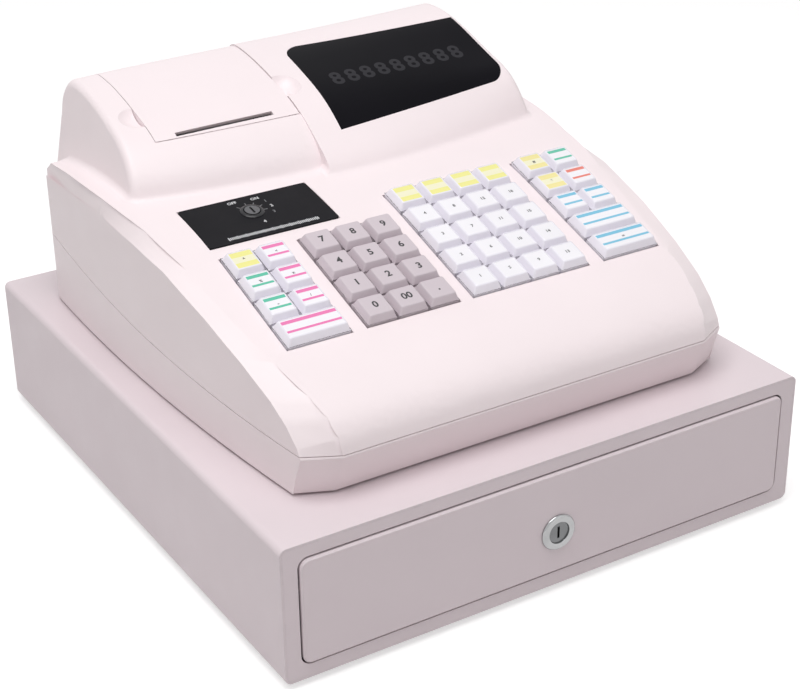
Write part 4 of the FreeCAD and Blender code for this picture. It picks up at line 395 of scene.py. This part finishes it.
# Note clips: a bright steel wire across the tray carries four moulded plastic clips, which turn on
# it and press on the notes.
wire_steel = metal("bright_wire", (0.66, 0.66, 0.67), 0.2)
dress("clip_rod", wire_steel, edge=0.2)
clip_plastic = grained("clip_plastic", (0.10, 0.10, 0.11), 0.42, 1800.0, 0.00002)
dress("note_clips", clip_plastic, edge=0.0)


# Ejector and latch: a wire spring behind the drawer pushes it out, and a plated coil and lever on
# the case's floor hold it and let it go.
dress("ejector_spring", wire_steel, edge=0.0)
dress("latch_solenoid", zinc, edge=0.25)
dress("latch_lever", zinc, edge=0.25)


# Base tray and upper housing: the two halves of the register's shell, injection moulded in off-white
# plastic with a fine spark-eroded grain. They meet at a seam and are held by four screws from below.
HOUSING_PLASTIC = (0.88, 0.780, 0.798)
housing_plastic = grained("housing_plastic", HOUSING_PLASTIC, 0.40, 2400.0, 0.000012, shade=0.975)
dress("base_tray", housing_plastic, edge=0.0, angle=24.0)
dress("upper_housing", housing_plastic, edge=0.0, angle=30.0)
dress("housing_screws", zinc, edge=0.2)


# Keys: grey number caps and clear caps over printed labels, moulded with a straight skirt, a tapered
# crown and a square stem that runs in the guide plate.
KEY_PITCH = 19.4
KEY_GAP = 0.9
KEY_SKIRT = 4.6
KEY_RIM = 1.0
KEY_RISE = 4.5
KEY_STEP = 0.4
KEY_TAPER = 20.0
KEYS_FRONT = -40.2
CAP_WALL = 1.2
CAP_HOLLOW = 3.2
CAP_CORNER = 1.1
CAP_EDGE = 0.55
CAP_DRAFT = 0.3
NEARLY = 0.1
TINY = 0.01
STEM_HALF = 3.0
STEM_LENGTH = 9.0
STEM_TOP = -1.5
DECK_SLOPE = 17.0
DECK_DEPTH = 115.0
DECK_HEIGHT = 157.15
DECK_PLACE = (0.0, CASE_FRONT + DECK_DEPTH, DECK_HEIGHT)
LABEL_BORDER = 0.75
LABEL_STEP = 0.12
LABEL_DROP = 0.22
LEGEND_LIFT = 0.03
LEGEND_WEIGHT = 0.028
BLOCK_LEFT = {"clear": -116.0, "number": -68.6, "department": -2.4, "payment": 85.2}
deck = Matrix.Translation(DECK_PLACE) @ Matrix.Rotation(math.radians(DECK_SLOPE), 4, "X")

cap_grey = grained("cap_grey", (0.60, 0.525, 0.565), 0.36, 2600.0, 0.000008, shade=0.96)
cap_clear = grained(
    "cap_clear", (0.83, 0.80, 0.87), 0.16, 600.0, 0.000002, shade=0.98, Coat_Weight=0.5, Coat_Roughness=0.06
)


def printed(name, colour):
    """Printed card under the clear cap: paper fibre and a slightly uneven ink."""
    return grained(name, colour, 0.34, 5200.0, 0.000006, shade=0.94, Coat_Weight=0.8, Coat_Roughness=0.08)


label_white = printed("label_white", (0.88, 0.86, 0.90))
label_pale = printed("label_pale_yellow", (0.88, 0.85, 0.60))
INKS = {
    "yellow": printed("label_yellow", (0.86, 0.82, 0.26)),
    "amber": printed("label_amber", (0.86, 0.76, 0.30)),
    "green": printed("label_green", (0.07, 0.50, 0.34)),
    "pink": printed("label_pink", (0.80, 0.16, 0.42)),
    "red": printed("label_red", (0.78, 0.17, 0.12)),
    "blue": printed("label_blue", (0.15, 0.50, 0.70)),
    "white": label_white,
}
legend_ink = grained("legend_ink", (0.03, 0.028, 0.032), 0.4, 4000.0, 0.000004)
# Where each label changes from paper to ink, as shares of its depth from the front.
BAND_SHARES = (0.24, 0.37, 0.76, 0.95)
YELLOW_SHARES = (0.02, 0.32, 0.68, 0.98)


def block_between(mesh, low, high):
    """A closed block between two corners, in the mesh's own units; returns its faces."""
    middle = [(a + b) / 2 for a, b in zip(low, high)]
    span = [b - a for a, b in zip(low, high)]
    form = Matrix.Translation(middle) @ Matrix.Diagonal((*span, 1.0))
    points = bmesh.ops.create_cube(mesh, size=1.0, matrix=form)["verts"]
    mesh.normal_update()
    return list({face for point in points for face in point.link_faces})


def is_corner(edge):
    """A cap's edge that runs up or across a corner, and not along a side."""
    along = edge.verts[1].co - edge.verts[0].co
    return (abs(along.x) > TINY) == (abs(along.y) > TINY)


def bevelled(mesh, edges, width, segments):
    """Round edges with the settings that the editor starts from; returns the new faces."""
    return bmesh.ops.bevel(
        mesh,
        geom=edges,
        offset=width,
        offset_type="OFFSET",
        segments=segments,
        profile=0.5,
        affect="EDGES",
        material=-1,
        clamp_overlap=True,
    )["faces"]


def sunk(mesh, face, inset, rise):
    """Draw a face in by inset and raise it by rise; the face itself stays on top."""
    bmesh.ops.inset_individual(mesh, faces=[face], thickness=inset, depth=rise, use_even_offset=True)
    mesh.normal_update()
    return face


def is_level(face):
    """A face that lies level, looking up."""
    return face.normal.z > 0.99


def key_cap(across, along, cells, label):
    """One cap, standing on the deck's plane at a place across and along it, in millimetres."""
    mesh = bmesh.new()
    wide = (cells * KEY_PITCH - KEY_GAP) / 2
    deep = (KEY_PITCH - KEY_GAP) / 2
    faces = block_between(mesh, (-wide, -deep, -KEY_SKIRT), (wide, deep, KEY_RIM))
    top = max(faces, key=lambda face: face.normal.z)
    under = min(faces, key=lambda face: face.normal.z)
    sunk(mesh, under, CAP_WALL, 0.0)
    sunk(mesh, under, CAP_DRAFT, -CAP_HOLLOW)
    sunk(mesh, top, KEY_STEP, 0.0)
    sunk(mesh, top, KEY_RISE * math.tan(math.radians(KEY_TAPER)), KEY_RISE)
    sunk(mesh, top, LABEL_BORDER, 0.0)
    crown = KEY_RIM + KEY_RISE
    corners = [
        edge
        for edge in mesh.edges
        if is_corner(edge)
        and len(edge.link_faces) == 2
        and not any(is_level(face) for face in edge.link_faces)
        and max(vert.co.z for vert in edge.verts) > -KEY_SKIRT + NEARLY
        and min(abs(vert.co.x) for vert in edge.verts) > wide - CAP_CORNER - KEY_RISE
        and max(abs(vert.co.z - crown) for vert in edge.verts) > NEARLY
        and all(face.normal.z > -NEARLY for face in edge.link_faces)
    ]
    bevelled(mesh, corners, CAP_CORNER, 3)
    mesh.normal_update()
    rim = [
        edge
        for edge in mesh.edges
        if len(edge.link_faces) == 2
        and [is_level(face) for face in edge.link_faces].count(True) == 1
        and min(vert.co.z for vert in edge.verts) > crown - TINY
    ]
    bevelled(mesh, rim, CAP_EDGE, 3)
    mesh.normal_update()
    if label:
        tops = (face for face in mesh.faces if is_level(face) and face.calc_center_median().z > crown - TINY)
        paper = max(tops, key=lambda face: face.calc_area())
        sunk(mesh, paper, LABEL_STEP, -LABEL_DROP)
        front = min(corner.co.y for corner in paper.verts)
        back = max(corner.co.y for corner in paper.verts)
        paper.material_index = 1
        shares = YELLOW_SHARES if label in ("yellow", "amber") else BAND_SHARES
        pieces = [paper]
        for share in shares if label != "white" else ():
            parts = list(pieces)
            parts += [edge for face in pieces for edge in face.edges]
            parts += [corner for face in pieces for corner in face.verts]
            bmesh.ops.bisect_plane(
                mesh,
                geom=list(dict.fromkeys(parts)),
                plane_co=(0.0, front + share * (back - front), 0.0),
                plane_no=(0.0, 1.0, 0.0),
            )
            pieces = [face for face in mesh.faces if face.material_index == 1]
        for face in pieces:
            share = (face.calc_center_median().y - front) / (back - front)
            banded = shares[0] < share < shares[1] or shares[2] < share < shares[3]
            face.material_index = 2 if banded and label != "white" else 1
    stem_foot = (-STEM_HALF, -STEM_HALF, -STEM_LENGTH - KEY_SKIRT)
    stem = block_between(mesh, stem_foot, (STEM_HALF, STEM_HALF, STEM_TOP))
    for face in stem:
        face.material_index = 0
    bmesh.ops.translate(mesh, verts=mesh.verts, vec=(across, along, 0.0))
    return mesh


def legend_mesh(words, high, place, form, material):
    """Printed figures as thin raised ink, laid flat at a place on a plane; returns a mesh in metres."""
    letters = bpy.data.curves.new("legend", "FONT")
    letters.body = words
    letters.size = high
    letters.align_x = "CENTER"
    letters.align_y = "CENTER"
    letters.extrude = LEGEND_LIFT
    letters.offset = high * LEGEND_WEIGHT
    letters.resolution_u = 4
    holder = bpy.data.objects.new("legend", letters)
    bpy.context.scene.collection.objects.link(holder)
    bpy.context.view_layer.update()
    flat = bpy.data.meshes.new_from_object(holder.evaluated_get(bpy.context.evaluated_depsgraph_get()))
    bpy.data.objects.remove(holder)
    bpy.data.curves.remove(letters)
    flat.transform(form @ Matrix.Translation(place))
    for face in flat.polygons:
        face.material_index = material
    return flat


def make_piece(name, mesh, finishes, body, smooth=40.0):
    """Turn a mesh in metres into a piece that rides on a body, smooth except at sharp edges."""
    data = bpy.data.meshes.new(name)
    if isinstance(mesh, bmesh.types.BMesh):
        mesh.to_mesh(data)
        mesh.free()
    for finish in finishes:
        data.materials.append(finish)
    data.set_sharp_from_angle(angle=math.radians(smooth))
    piece = bpy.data.objects.new(name, data)
    bpy.context.scene.collection.objects.link(piece)
    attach(piece, body)
    return piece


def body_of_node(name):
    """The body that carries a CAD node."""
    return next(body for body, members in frame["record"]["behaviour"]["bodies"].items() if name in members)


def add_mesh(whole, mesh):
    """Add a mesh to a growing one, and throw the first away."""
    whole.from_mesh(mesh)
    bpy.data.meshes.remove(mesh)


def lay_on_deck(cap):
    """Move a cap from the deck's own plane to its place on the sloped deck."""
    bmesh.ops.transform(cap, matrix=deck, verts=cap.verts)
    bmesh.ops.recalc_face_normals(cap, faces=cap.faces)


def add_cap(whole, cap):
    """Add a finished cap to a growing mesh."""
    made = bpy.data.meshes.new("cap")
    cap.to_mesh(made)
    cap.free()
    add_mesh(whole, made)


def key_piece(name, caps):
    """A piece for one key or one column of keys; caps lists each cap's place, cells, label and legend."""
    whole = bmesh.new()
    label = None
    for across, along, cells, label, legend, high in caps:
        cap = key_cap(across, along, cells, label)
        crown = max(vert.co.z for vert in cap.verts)
        lay_on_deck(cap)
        add_cap(whole, cap)
        if legend:
            ink_height = crown - (LABEL_DROP if label else 0.0)
            add_mesh(whole, legend_mesh(legend, high, (across, along, ink_height), deck, 3))
    bmesh.ops.scale(whole, vec=(MM, MM, MM), verts=whole.verts)
    finishes = (cap_clear, label_white, INKS[label], legend_ink) if label else (cap_grey,) * 3 + (legend_ink,)
    if label in ("yellow", "amber"):
        finishes = (cap_clear, label_pale, INKS[label], legend_ink)
    piece = make_piece(name + "_cap", whole, finishes, body_of_node(name))
    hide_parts(name)
    return piece


# Each key's name, block, column, row, cells, label colour, legend and legend height.
SINGLE_KEYS = (
    ("paper_feed_key", "clear", 0, 3, 1, "yellow", "^", 3.0),
    ("percent_key", "clear", 0, 2, 1, "green", "%", 2.6),
    ("minus_key", "clear", 0, 1, 1, "green", "-", 3.4),
    ("refund_key", "clear", 1, 3, 1, "pink", "<", 2.4),
    ("void_key", "clear", 1, 2, 1, "pink", "x", 2.8),
    ("correction_key", "clear", 1, 1, 1, "pink", "/", 2.4),
    ("clear_key", "clear", 0, 0, 2, "pink", "", 2.4),
    ("number_key_7", "number", 0, 3, 1, None, "7", 6.4),
    ("number_key_8", "number", 1, 3, 1, None, "8", 6.4),
    ("number_key_9", "number", 2, 3, 1, None, "9", 6.4),
    ("number_key_4", "number", 0, 2, 1, None, "4", 6.4),
    ("number_key_5", "number", 1, 2, 1, None, "5", 6.4),
    ("number_key_6", "number", 2, 2, 1, None, "6", 6.4),
    ("number_key_1", "number", 0, 1, 1, None, "1", 6.4),
    ("number_key_2", "number", 1, 1, 1, None, "2", 6.4),
    ("number_key_3", "number", 2, 1, 1, None, "3", 6.4),
    ("number_key_0", "number", 0, 0, 1, None, "0", 6.4),
    ("number_key_00", "number", 1, 0, 1, None, "00", 6.4),
    ("number_key_point", "number", 2, 0, 1, None, ".", 7.0),
    ("price_lookup_key", "payment", 0, 4, 1, "amber", "#", 3.0),
    ("no_sale_key", "payment", 1, 4, 1, "green", "", 2.6),
    ("clerk_key", "payment", 0, 3, 1, "amber", "*", 3.0),
    ("cancel_key", "payment", 1, 3, 1, "red", "", 2.6),
    ("cheque_key", "payment", 0, 2, 1, "blue", "", 2.6),
    ("charge_key", "payment", 1, 2, 1, "blue", "", 2.6),
    ("subtotal_key", "payment", 0, 1, 2, "blue", "", 3.2),
    ("cash_total_key", "payment", 0, 0, 2, "blue", "=", 3.2),
)


def key_middle(block, column, row, cells):
    """A key's middle, across and along the deck."""
    return BLOCK_LEFT[block] + (column + cells / 2) * KEY_PITCH, KEYS_FRONT + (row + 0.5) * KEY_PITCH


for key_name, block, column, row, cells, label, legend, high in SINGLE_KEYS:
    across, along = key_middle(block, column, row, cells)
    key_piece(key_name, [(across, along, cells, label, legend, high)])


# Department keys: four columns of clear caps over printed labels, each with four white keys numbered
# from the front and a yellow key behind them.
DEPARTMENT_COLUMNS = 4
DEPARTMENT_ROWS = 5
DEPARTMENT_FIGURE = 3.0
for column in range(DEPARTMENT_COLUMNS):
    node = f"department_keys_column_{column + 1}"
    whole = bmesh.new()
    for row in range(DEPARTMENT_ROWS):
        across, along = key_middle("department", column, row, 1)
        yellow = row == DEPARTMENT_ROWS - 1
        cap = key_cap(across, along, 1, "yellow" if yellow else "white")
        crown = max(vert.co.z for vert in cap.verts) - LABEL_DROP
        lay_on_deck(cap)
        if yellow:
            for face in cap.faces:
                face.material_index = {1: 4, 2: 2}.get(face.material_index, 0)
        add_cap(whole, cap)
        if not yellow:
            number = str(column * (DEPARTMENT_ROWS - 1) + row + 1)
            add_mesh(whole, legend_mesh(number, DEPARTMENT_FIGURE, (across, along, crown), deck, 3))
    bmesh.ops.scale(whole, vec=(MM, MM, MM), verts=whole.verts)
    finishes = (cap_clear, label_white, INKS["yellow"], legend_ink, label_pale)
    piece = make_piece(f"department_caps_{column + 1}", whole, finishes, body_of_node(node))
    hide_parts(node)


# Mode panel: a black printed sheet glued in its recess, with tick marks and plain figures round the lock.
# The real panel's line of words is left off, and a plain scale stands in its place.
PANEL_SLOPE = 10.0
PANEL_LEFT = -116.4
PANEL_PLACE = (PANEL_LEFT, CASE_FRONT + 159.6, 171.2)
ROTOR_ACROSS = 38.3
ROTOR_ALONG = 25.0
PRINT_LIFT = 0.02
panel_plane = Matrix.Translation(PANEL_PLACE) @ Matrix.Rotation(math.radians(PANEL_SLOPE), 4, "X")
panel_black = grained(
    "mode_print", (0.010, 0.0097, 0.012), 0.42, 3000.0, 0.000006, shade=0.85, Specular_IOR_Level=0.06
)
panel_white = grained("mode_ink", (0.62, 0.62, 0.64), 0.5, 3000.0, 0.000004)
panel_faint = grained("mode_ink_faint", (0.16, 0.16, 0.17), 0.5, 3000.0, 0.000004)
dress("mode_panel", panel_black, edge=0.2)


def printed_marks(name, marks, figures, plane, finishes, body):
    """Ink on a plane: marks are (middle x, middle y, width, length, turn, finish), figures are text."""
    whole = bmesh.new()
    for across, along, wide, long, turn, number in marks:
        form = Matrix.Translation((across, along, PRINT_LIFT)) @ Matrix.Rotation(math.radians(turn), 4, "Z")
        form = form @ Matrix.Diagonal((wide, long, 2 * PRINT_LIFT, 1.0))
        made = bmesh.ops.create_cube(whole, size=1.0, matrix=plane @ form)
        for face in {face for vert in made["verts"] for face in vert.link_faces}:
            face.material_index = number
    for words, high, across, along, number in figures:
        add_mesh(whole, legend_mesh(words, high, (across, along, PRINT_LIFT), plane, number))
    bmesh.ops.scale(whole, vec=(MM, MM, MM), verts=whole.verts)
    bmesh.ops.recalc_face_normals(whole, faces=whole.faces)
    return make_piece(name, whole, finishes, body)


SCALE_TICKS = 52
SCALE_START = 13.5
SCALE_PITCH = 1.08
SCALE_ALONG = 4.2
TICK_WIDTH = 0.66
TICK_SHORT = 2.3
TICK_LONG = 3.1
TICKS_PER_LONG = 5
LOCK_TURNS = (40.0, 0.0, -32.0, -64.0, -96.0)
LOCK_MARK_RADIUS = 8.2
LOCK_MARK_WIDTH = 0.5
LOCK_MARK_LENGTH = 2.2
mode_marks = []
for tick in range(SCALE_TICKS):
    high = TICK_SHORT if tick % TICKS_PER_LONG else TICK_LONG
    mode_marks.append((SCALE_START + tick * SCALE_PITCH, SCALE_ALONG, TICK_WIDTH, high, 0.0, 0))
for turn in LOCK_TURNS:
    lean = math.radians(turn)
    across = ROTOR_ACROSS + LOCK_MARK_RADIUS * math.sin(-lean)
    along = ROTOR_ALONG + LOCK_MARK_RADIUS * math.cos(lean)
    mode_marks.append((across, along, LOCK_MARK_WIDTH, LOCK_MARK_LENGTH, turn, 1))
mode_figures = (
    ("OFF", 3.2, ROTOR_ACROSS - 6.5, ROTOR_ALONG + 12.0, 0),
    ("ON", 3.2, ROTOR_ACROSS + 7.5, ROTOR_ALONG + 11.5, 0),
    ("1", 3.2, ROTOR_ACROSS + 12.0, ROTOR_ALONG + 7.0, 1),
    ("2", 3.2, ROTOR_ACROSS + 13.0, ROTOR_ALONG + 1.4, 0),
    ("3", 3.2, ROTOR_ACROSS + 11.5, ROTOR_ALONG - 4.6, 1),
    ("4", 3.2, ROTOR_ACROSS + 1.8, ROTOR_ALONG - 12.0, 0),
)
printed_marks(
    "mode_panel_print",
    mode_marks,
    mode_figures,
    panel_plane,
    (panel_white, panel_faint),
    body_of_node("mode_panel"),
)


# Mode lock: a turned collar, glossy black, round the slotted rotor that the key turns.
COLLAR_PROFILE = ((4.75, -0.2), (4.75, 0.5), (5.1, 0.9), (6.1, 0.9), (6.9, 0.35), (7.0, -0.2))
collar_black = grained("collar_black", (0.02, 0.02, 0.023), 0.18, 900.0, 0.000002, Specular_IOR_Level=0.3)
rotor_metal = metal("rotor_metal", (0.16, 0.16, 0.17), 0.35, across=4000.0, along=4000.0)


def turned(profile, steps, form):
    """A ring spun about Z from its profile of radii and heights, then moved by form; in millimetres."""
    mesh = bmesh.new()
    points = [mesh.verts.new((radius, 0.0, height)) for radius, height in profile]
    edges = [mesh.edges.new((a, b)) for a, b in zip(points, points[1:] + points[:1])]
    bmesh.ops.spin(
        mesh, geom=points + edges, cent=(0, 0, 0), axis=(0, 0, 1), angle=math.tau, steps=steps, use_merge=True
    )
    bmesh.ops.remove_doubles(mesh, verts=mesh.verts, dist=0.0001)
    bmesh.ops.transform(mesh, matrix=form, verts=mesh.verts)
    bmesh.ops.recalc_face_normals(mesh, faces=mesh.faces)
    bmesh.ops.scale(mesh, vec=(MM, MM, MM), verts=mesh.verts)
    return mesh


collar = turned(COLLAR_PROFILE, 64, panel_plane @ Matrix.Translation((ROTOR_ACROSS, ROTOR_ALONG, 0.0)))
make_piece("mode_lock_collar", collar, (collar_black,), body_of_node("mode_panel"))
dress("mode_lock_rotor", rotor_metal, edge=0.2)


# Printer: its frame with the roll's tub, a rubber platen on a steel shaft, the roll of paper and the
# hinged cover with the paper slot.
ROLL_MIDDLE = (-63.35 * MM, (CASE_FRONT + 284.0) * MM, 182.0 * MM)
dress("printer_frame", tray_plastic, edge=0.2)
dress("platen_roller", rubber, edge=0.15)
wound_paper = grained("wound_paper", (0.84, 0.84, 0.82), 0.8, 5000.0, 0.00001, shade=0.95)
winding = wound_paper.node_tree
around_roll = winding.nodes.new("ShaderNodeTexCoord")
centred = winding.nodes.new("ShaderNodeMapping")
centred.vector_type = "TEXTURE"
centred.inputs["Location"].default_value = ROLL_MIDDLE
turns = winding.nodes.new("ShaderNodeTexWave")
turns.wave_type = "RINGS"
turns.rings_direction = "X"
turns.inputs["Scale"].default_value = 900.0
turns.inputs["Distortion"].default_value = 0.6
wire(winding, (around_roll, "Object"), (centred, "Vector"))
wire(winding, (centred, 0), (turns, "Vector"))
bumped(winding, winding.nodes["Principled BSDF"], (turns, "Fac"), 0.00006)
dress("paper_roll", wound_paper, edge=0.2)
dress("printer_cover", housing_plastic, edge=0.0, angle=28.0)


# Boards: the main board, the keyboard's switch board and the display's board, in green solder resist
# with dark components standing on them. A height above the board tells one from the other.
BOARD_SLACK = 0.15


def board_material(name, place, slope, sheet, above):
    """Green between the board's two faces, above is the colour of what stands on it or holds it."""
    finish = grained(name, above, 0.42, 2600.0, 0.00001, shade=0.7)
    tree = finish.node_tree
    shader = tree.nodes["Principled BSDF"]
    spot = tree.nodes.new("ShaderNodeTexCoord")
    level = tree.nodes.new("ShaderNodeMapping")
    level.vector_type = "TEXTURE"
    level.inputs["Location"].default_value = place
    level.inputs["Rotation"].default_value = (math.radians(slope), 0.0, 0.0)
    wire(tree, (spot, "Object"), (level, "Vector"))
    height = tree.nodes.new("ShaderNodeSeparateXYZ")
    wire(tree, (level, 0), (height, 0))
    over = math_node(tree, "LESS_THAN", (height, "Z"), (sheet + BOARD_SLACK) * MM)
    below = math_node(tree, "GREATER_THAN", (height, "Z"), -BOARD_SLACK * MM)
    within = math_node(tree, "MULTIPLY", (over, 0), (below, 0))
    tracks = tree.nodes.new("ShaderNodeTexBrick")
    tracks.inputs["Scale"].default_value = 220.0
    tracks.inputs["Color1"].default_value = (0.020, 0.135, 0.055, 1.0)
    tracks.inputs["Color2"].default_value = (0.028, 0.165, 0.070, 1.0)
    tracks.inputs["Mortar"].default_value = (0.012, 0.095, 0.038, 1.0)
    tracks.inputs["Mortar Size"].default_value = 0.04
    wire(tree, (level, 0), (tracks, "Vector"))
    plain = shader.inputs["Base Color"].links[0].from_node
    mixed = mix_colours(tree, (within, 0), (plain, 2), (tracks, "Color"))
    wire(tree, (mixed, 2), (shader, "Base Color"))
    return finish


BOARD_SHEET = 1.6
MAIN_BOARD_HEIGHT = 96.0
main_board_finish = board_material(
    "main_board_finish", (0.0, 0.0, MAIN_BOARD_HEIGHT * MM), 0.0, BOARD_SHEET, (0.05, 0.05, 0.055)
)
dress("main_board", main_board_finish, edge=0.0)
SWITCH_DROP = 17.5
switch_place = (
    0.0,
    (CASE_FRONT + DECK_DEPTH + SWITCH_DROP * math.sin(math.radians(DECK_SLOPE))) * MM,
    (DECK_HEIGHT - SWITCH_DROP * math.cos(math.radians(DECK_SLOPE))) * MM,
)
switch_board_finish = board_material(
    "switch_board_finish", switch_place, DECK_SLOPE, BOARD_SHEET, (0.03, 0.03, 0.033)
)
dress("keyboard_frame", switch_board_finish, edge=0.0)


# Display: a smoked sheet in the hump, over a glass tube on its board. The tube's unlit figures only
# just show through the sheet, so they are laid on it as a faint film that follows its curve.
MODULE_SLOPE = 16.0
module_place = (0.0, (CASE_FRONT + 238.0) * MM, 192.0 * MM)
module_finish = board_material("module_finish", module_place, MODULE_SLOPE, BOARD_SHEET, (0.06, 0.065, 0.07))
dress("display_module", module_finish, edge=0.0)
WINDOW_SMOKE = (0.0065, 0.006, 0.0085)
smoke = grained(
    "smoked_window", WINDOW_SMOKE, 0.10, 400.0, 0.0, shade=0.8, handled=0.04, Specular_IOR_Level=0.04
)
dress("display_window", smoke, edge=0.0, angle=30.0)
ghost = grained("unlit_figures", (0.022, 0.021, 0.026), 0.3, 900.0, 0.0, Specular_IOR_Level=0.10)
FIGURES_FIRST = 19.0
FIGURES_PITCH = 10.6
FIGURES_DEPTH = 256.0
FIGURES_HIGH = 16.0
FIGURES_COUNT = 9
FILM_LIFT = 0.03

film = bmesh.new()
for place in range(FIGURES_COUNT):
    spot = (FIGURES_FIRST + place * FIGURES_PITCH, CASE_FRONT + FIGURES_DEPTH, 0.0)
    figure = legend_mesh("8", FIGURES_HIGH, spot, Matrix.Identity(4), 0)
    add_mesh(film, figure)
bmesh.ops.scale(film, vec=(MM, MM, MM), verts=film.verts)
for point in film.verts:
    above = (point.co.x, point.co.y, 1.0)
    sheet_found, sheet_place, _, _ = nodes["display_window"].ray_cast(above, (0.0, 0.0, -1.0))
    point.co.z += sheet_place.z + FILM_LIFT * MM if sheet_found else 0.0
make_piece("display_figures", film, (ghost,), body_of_node("display_window"))


# Mains inlet: a moulded black socket in the back wall with two bare plated pins, told from the
# plastic by how far they are from each pin's middle.
INLET_MIDDLE = (-114.0 * MM, 0.0, 103.5 * MM)
PIN_HALF_PITCH = 4.3
PIN_REACH = 1.35
inlet_finish = grained("inlet_plastic", (0.026, 0.026, 0.028), 0.45, 1500.0, 0.00002, shade=0.8)
inlet = inlet_finish.node_tree
inlet_shader = inlet.nodes["Principled BSDF"]
inlet_spot = inlet.nodes.new("ShaderNodeTexCoord")
inlet_centred = inlet.nodes.new("ShaderNodeMapping")
inlet_centred.vector_type = "TEXTURE"
inlet_centred.inputs["Location"].default_value = INLET_MIDDLE
wire(inlet, (inlet_spot, "Object"), (inlet_centred, "Vector"))
inlet_axes = inlet.nodes.new("ShaderNodeSeparateXYZ")
wire(inlet, (inlet_centred, 0), (inlet_axes, 0))
one_side = math_node(inlet, "ABSOLUTE", (inlet_axes, "X"))
from_pin = math_node(inlet, "SUBTRACT", (one_side, 0), PIN_HALF_PITCH * MM)
across_pin = math_node(inlet, "MULTIPLY", (from_pin, 0), (from_pin, 0))
up_pin = math_node(inlet, "MULTIPLY", (inlet_axes, "Z"), (inlet_axes, "Z"))
around_pin = math_node(inlet, "ADD", (across_pin, 0), (up_pin, 0))
on_pin = math_node(inlet, "LESS_THAN", (around_pin, 0), (PIN_REACH * MM) ** 2)
inlet_plain = inlet_shader.inputs["Base Color"].links[0].from_node
PIN_PLATING = (0.62, 0.60, 0.55)
inlet_colour = mix_colours(inlet, (on_pin, 0), (inlet_plain, 2), PIN_PLATING)
wire(inlet, (inlet_colour, 2), (inlet_shader, "Base Color"))
wire(inlet, (on_pin, 0), (inlet_shader, "Metallic"))
dress("power_inlet", inlet_finish, edge=0.25)
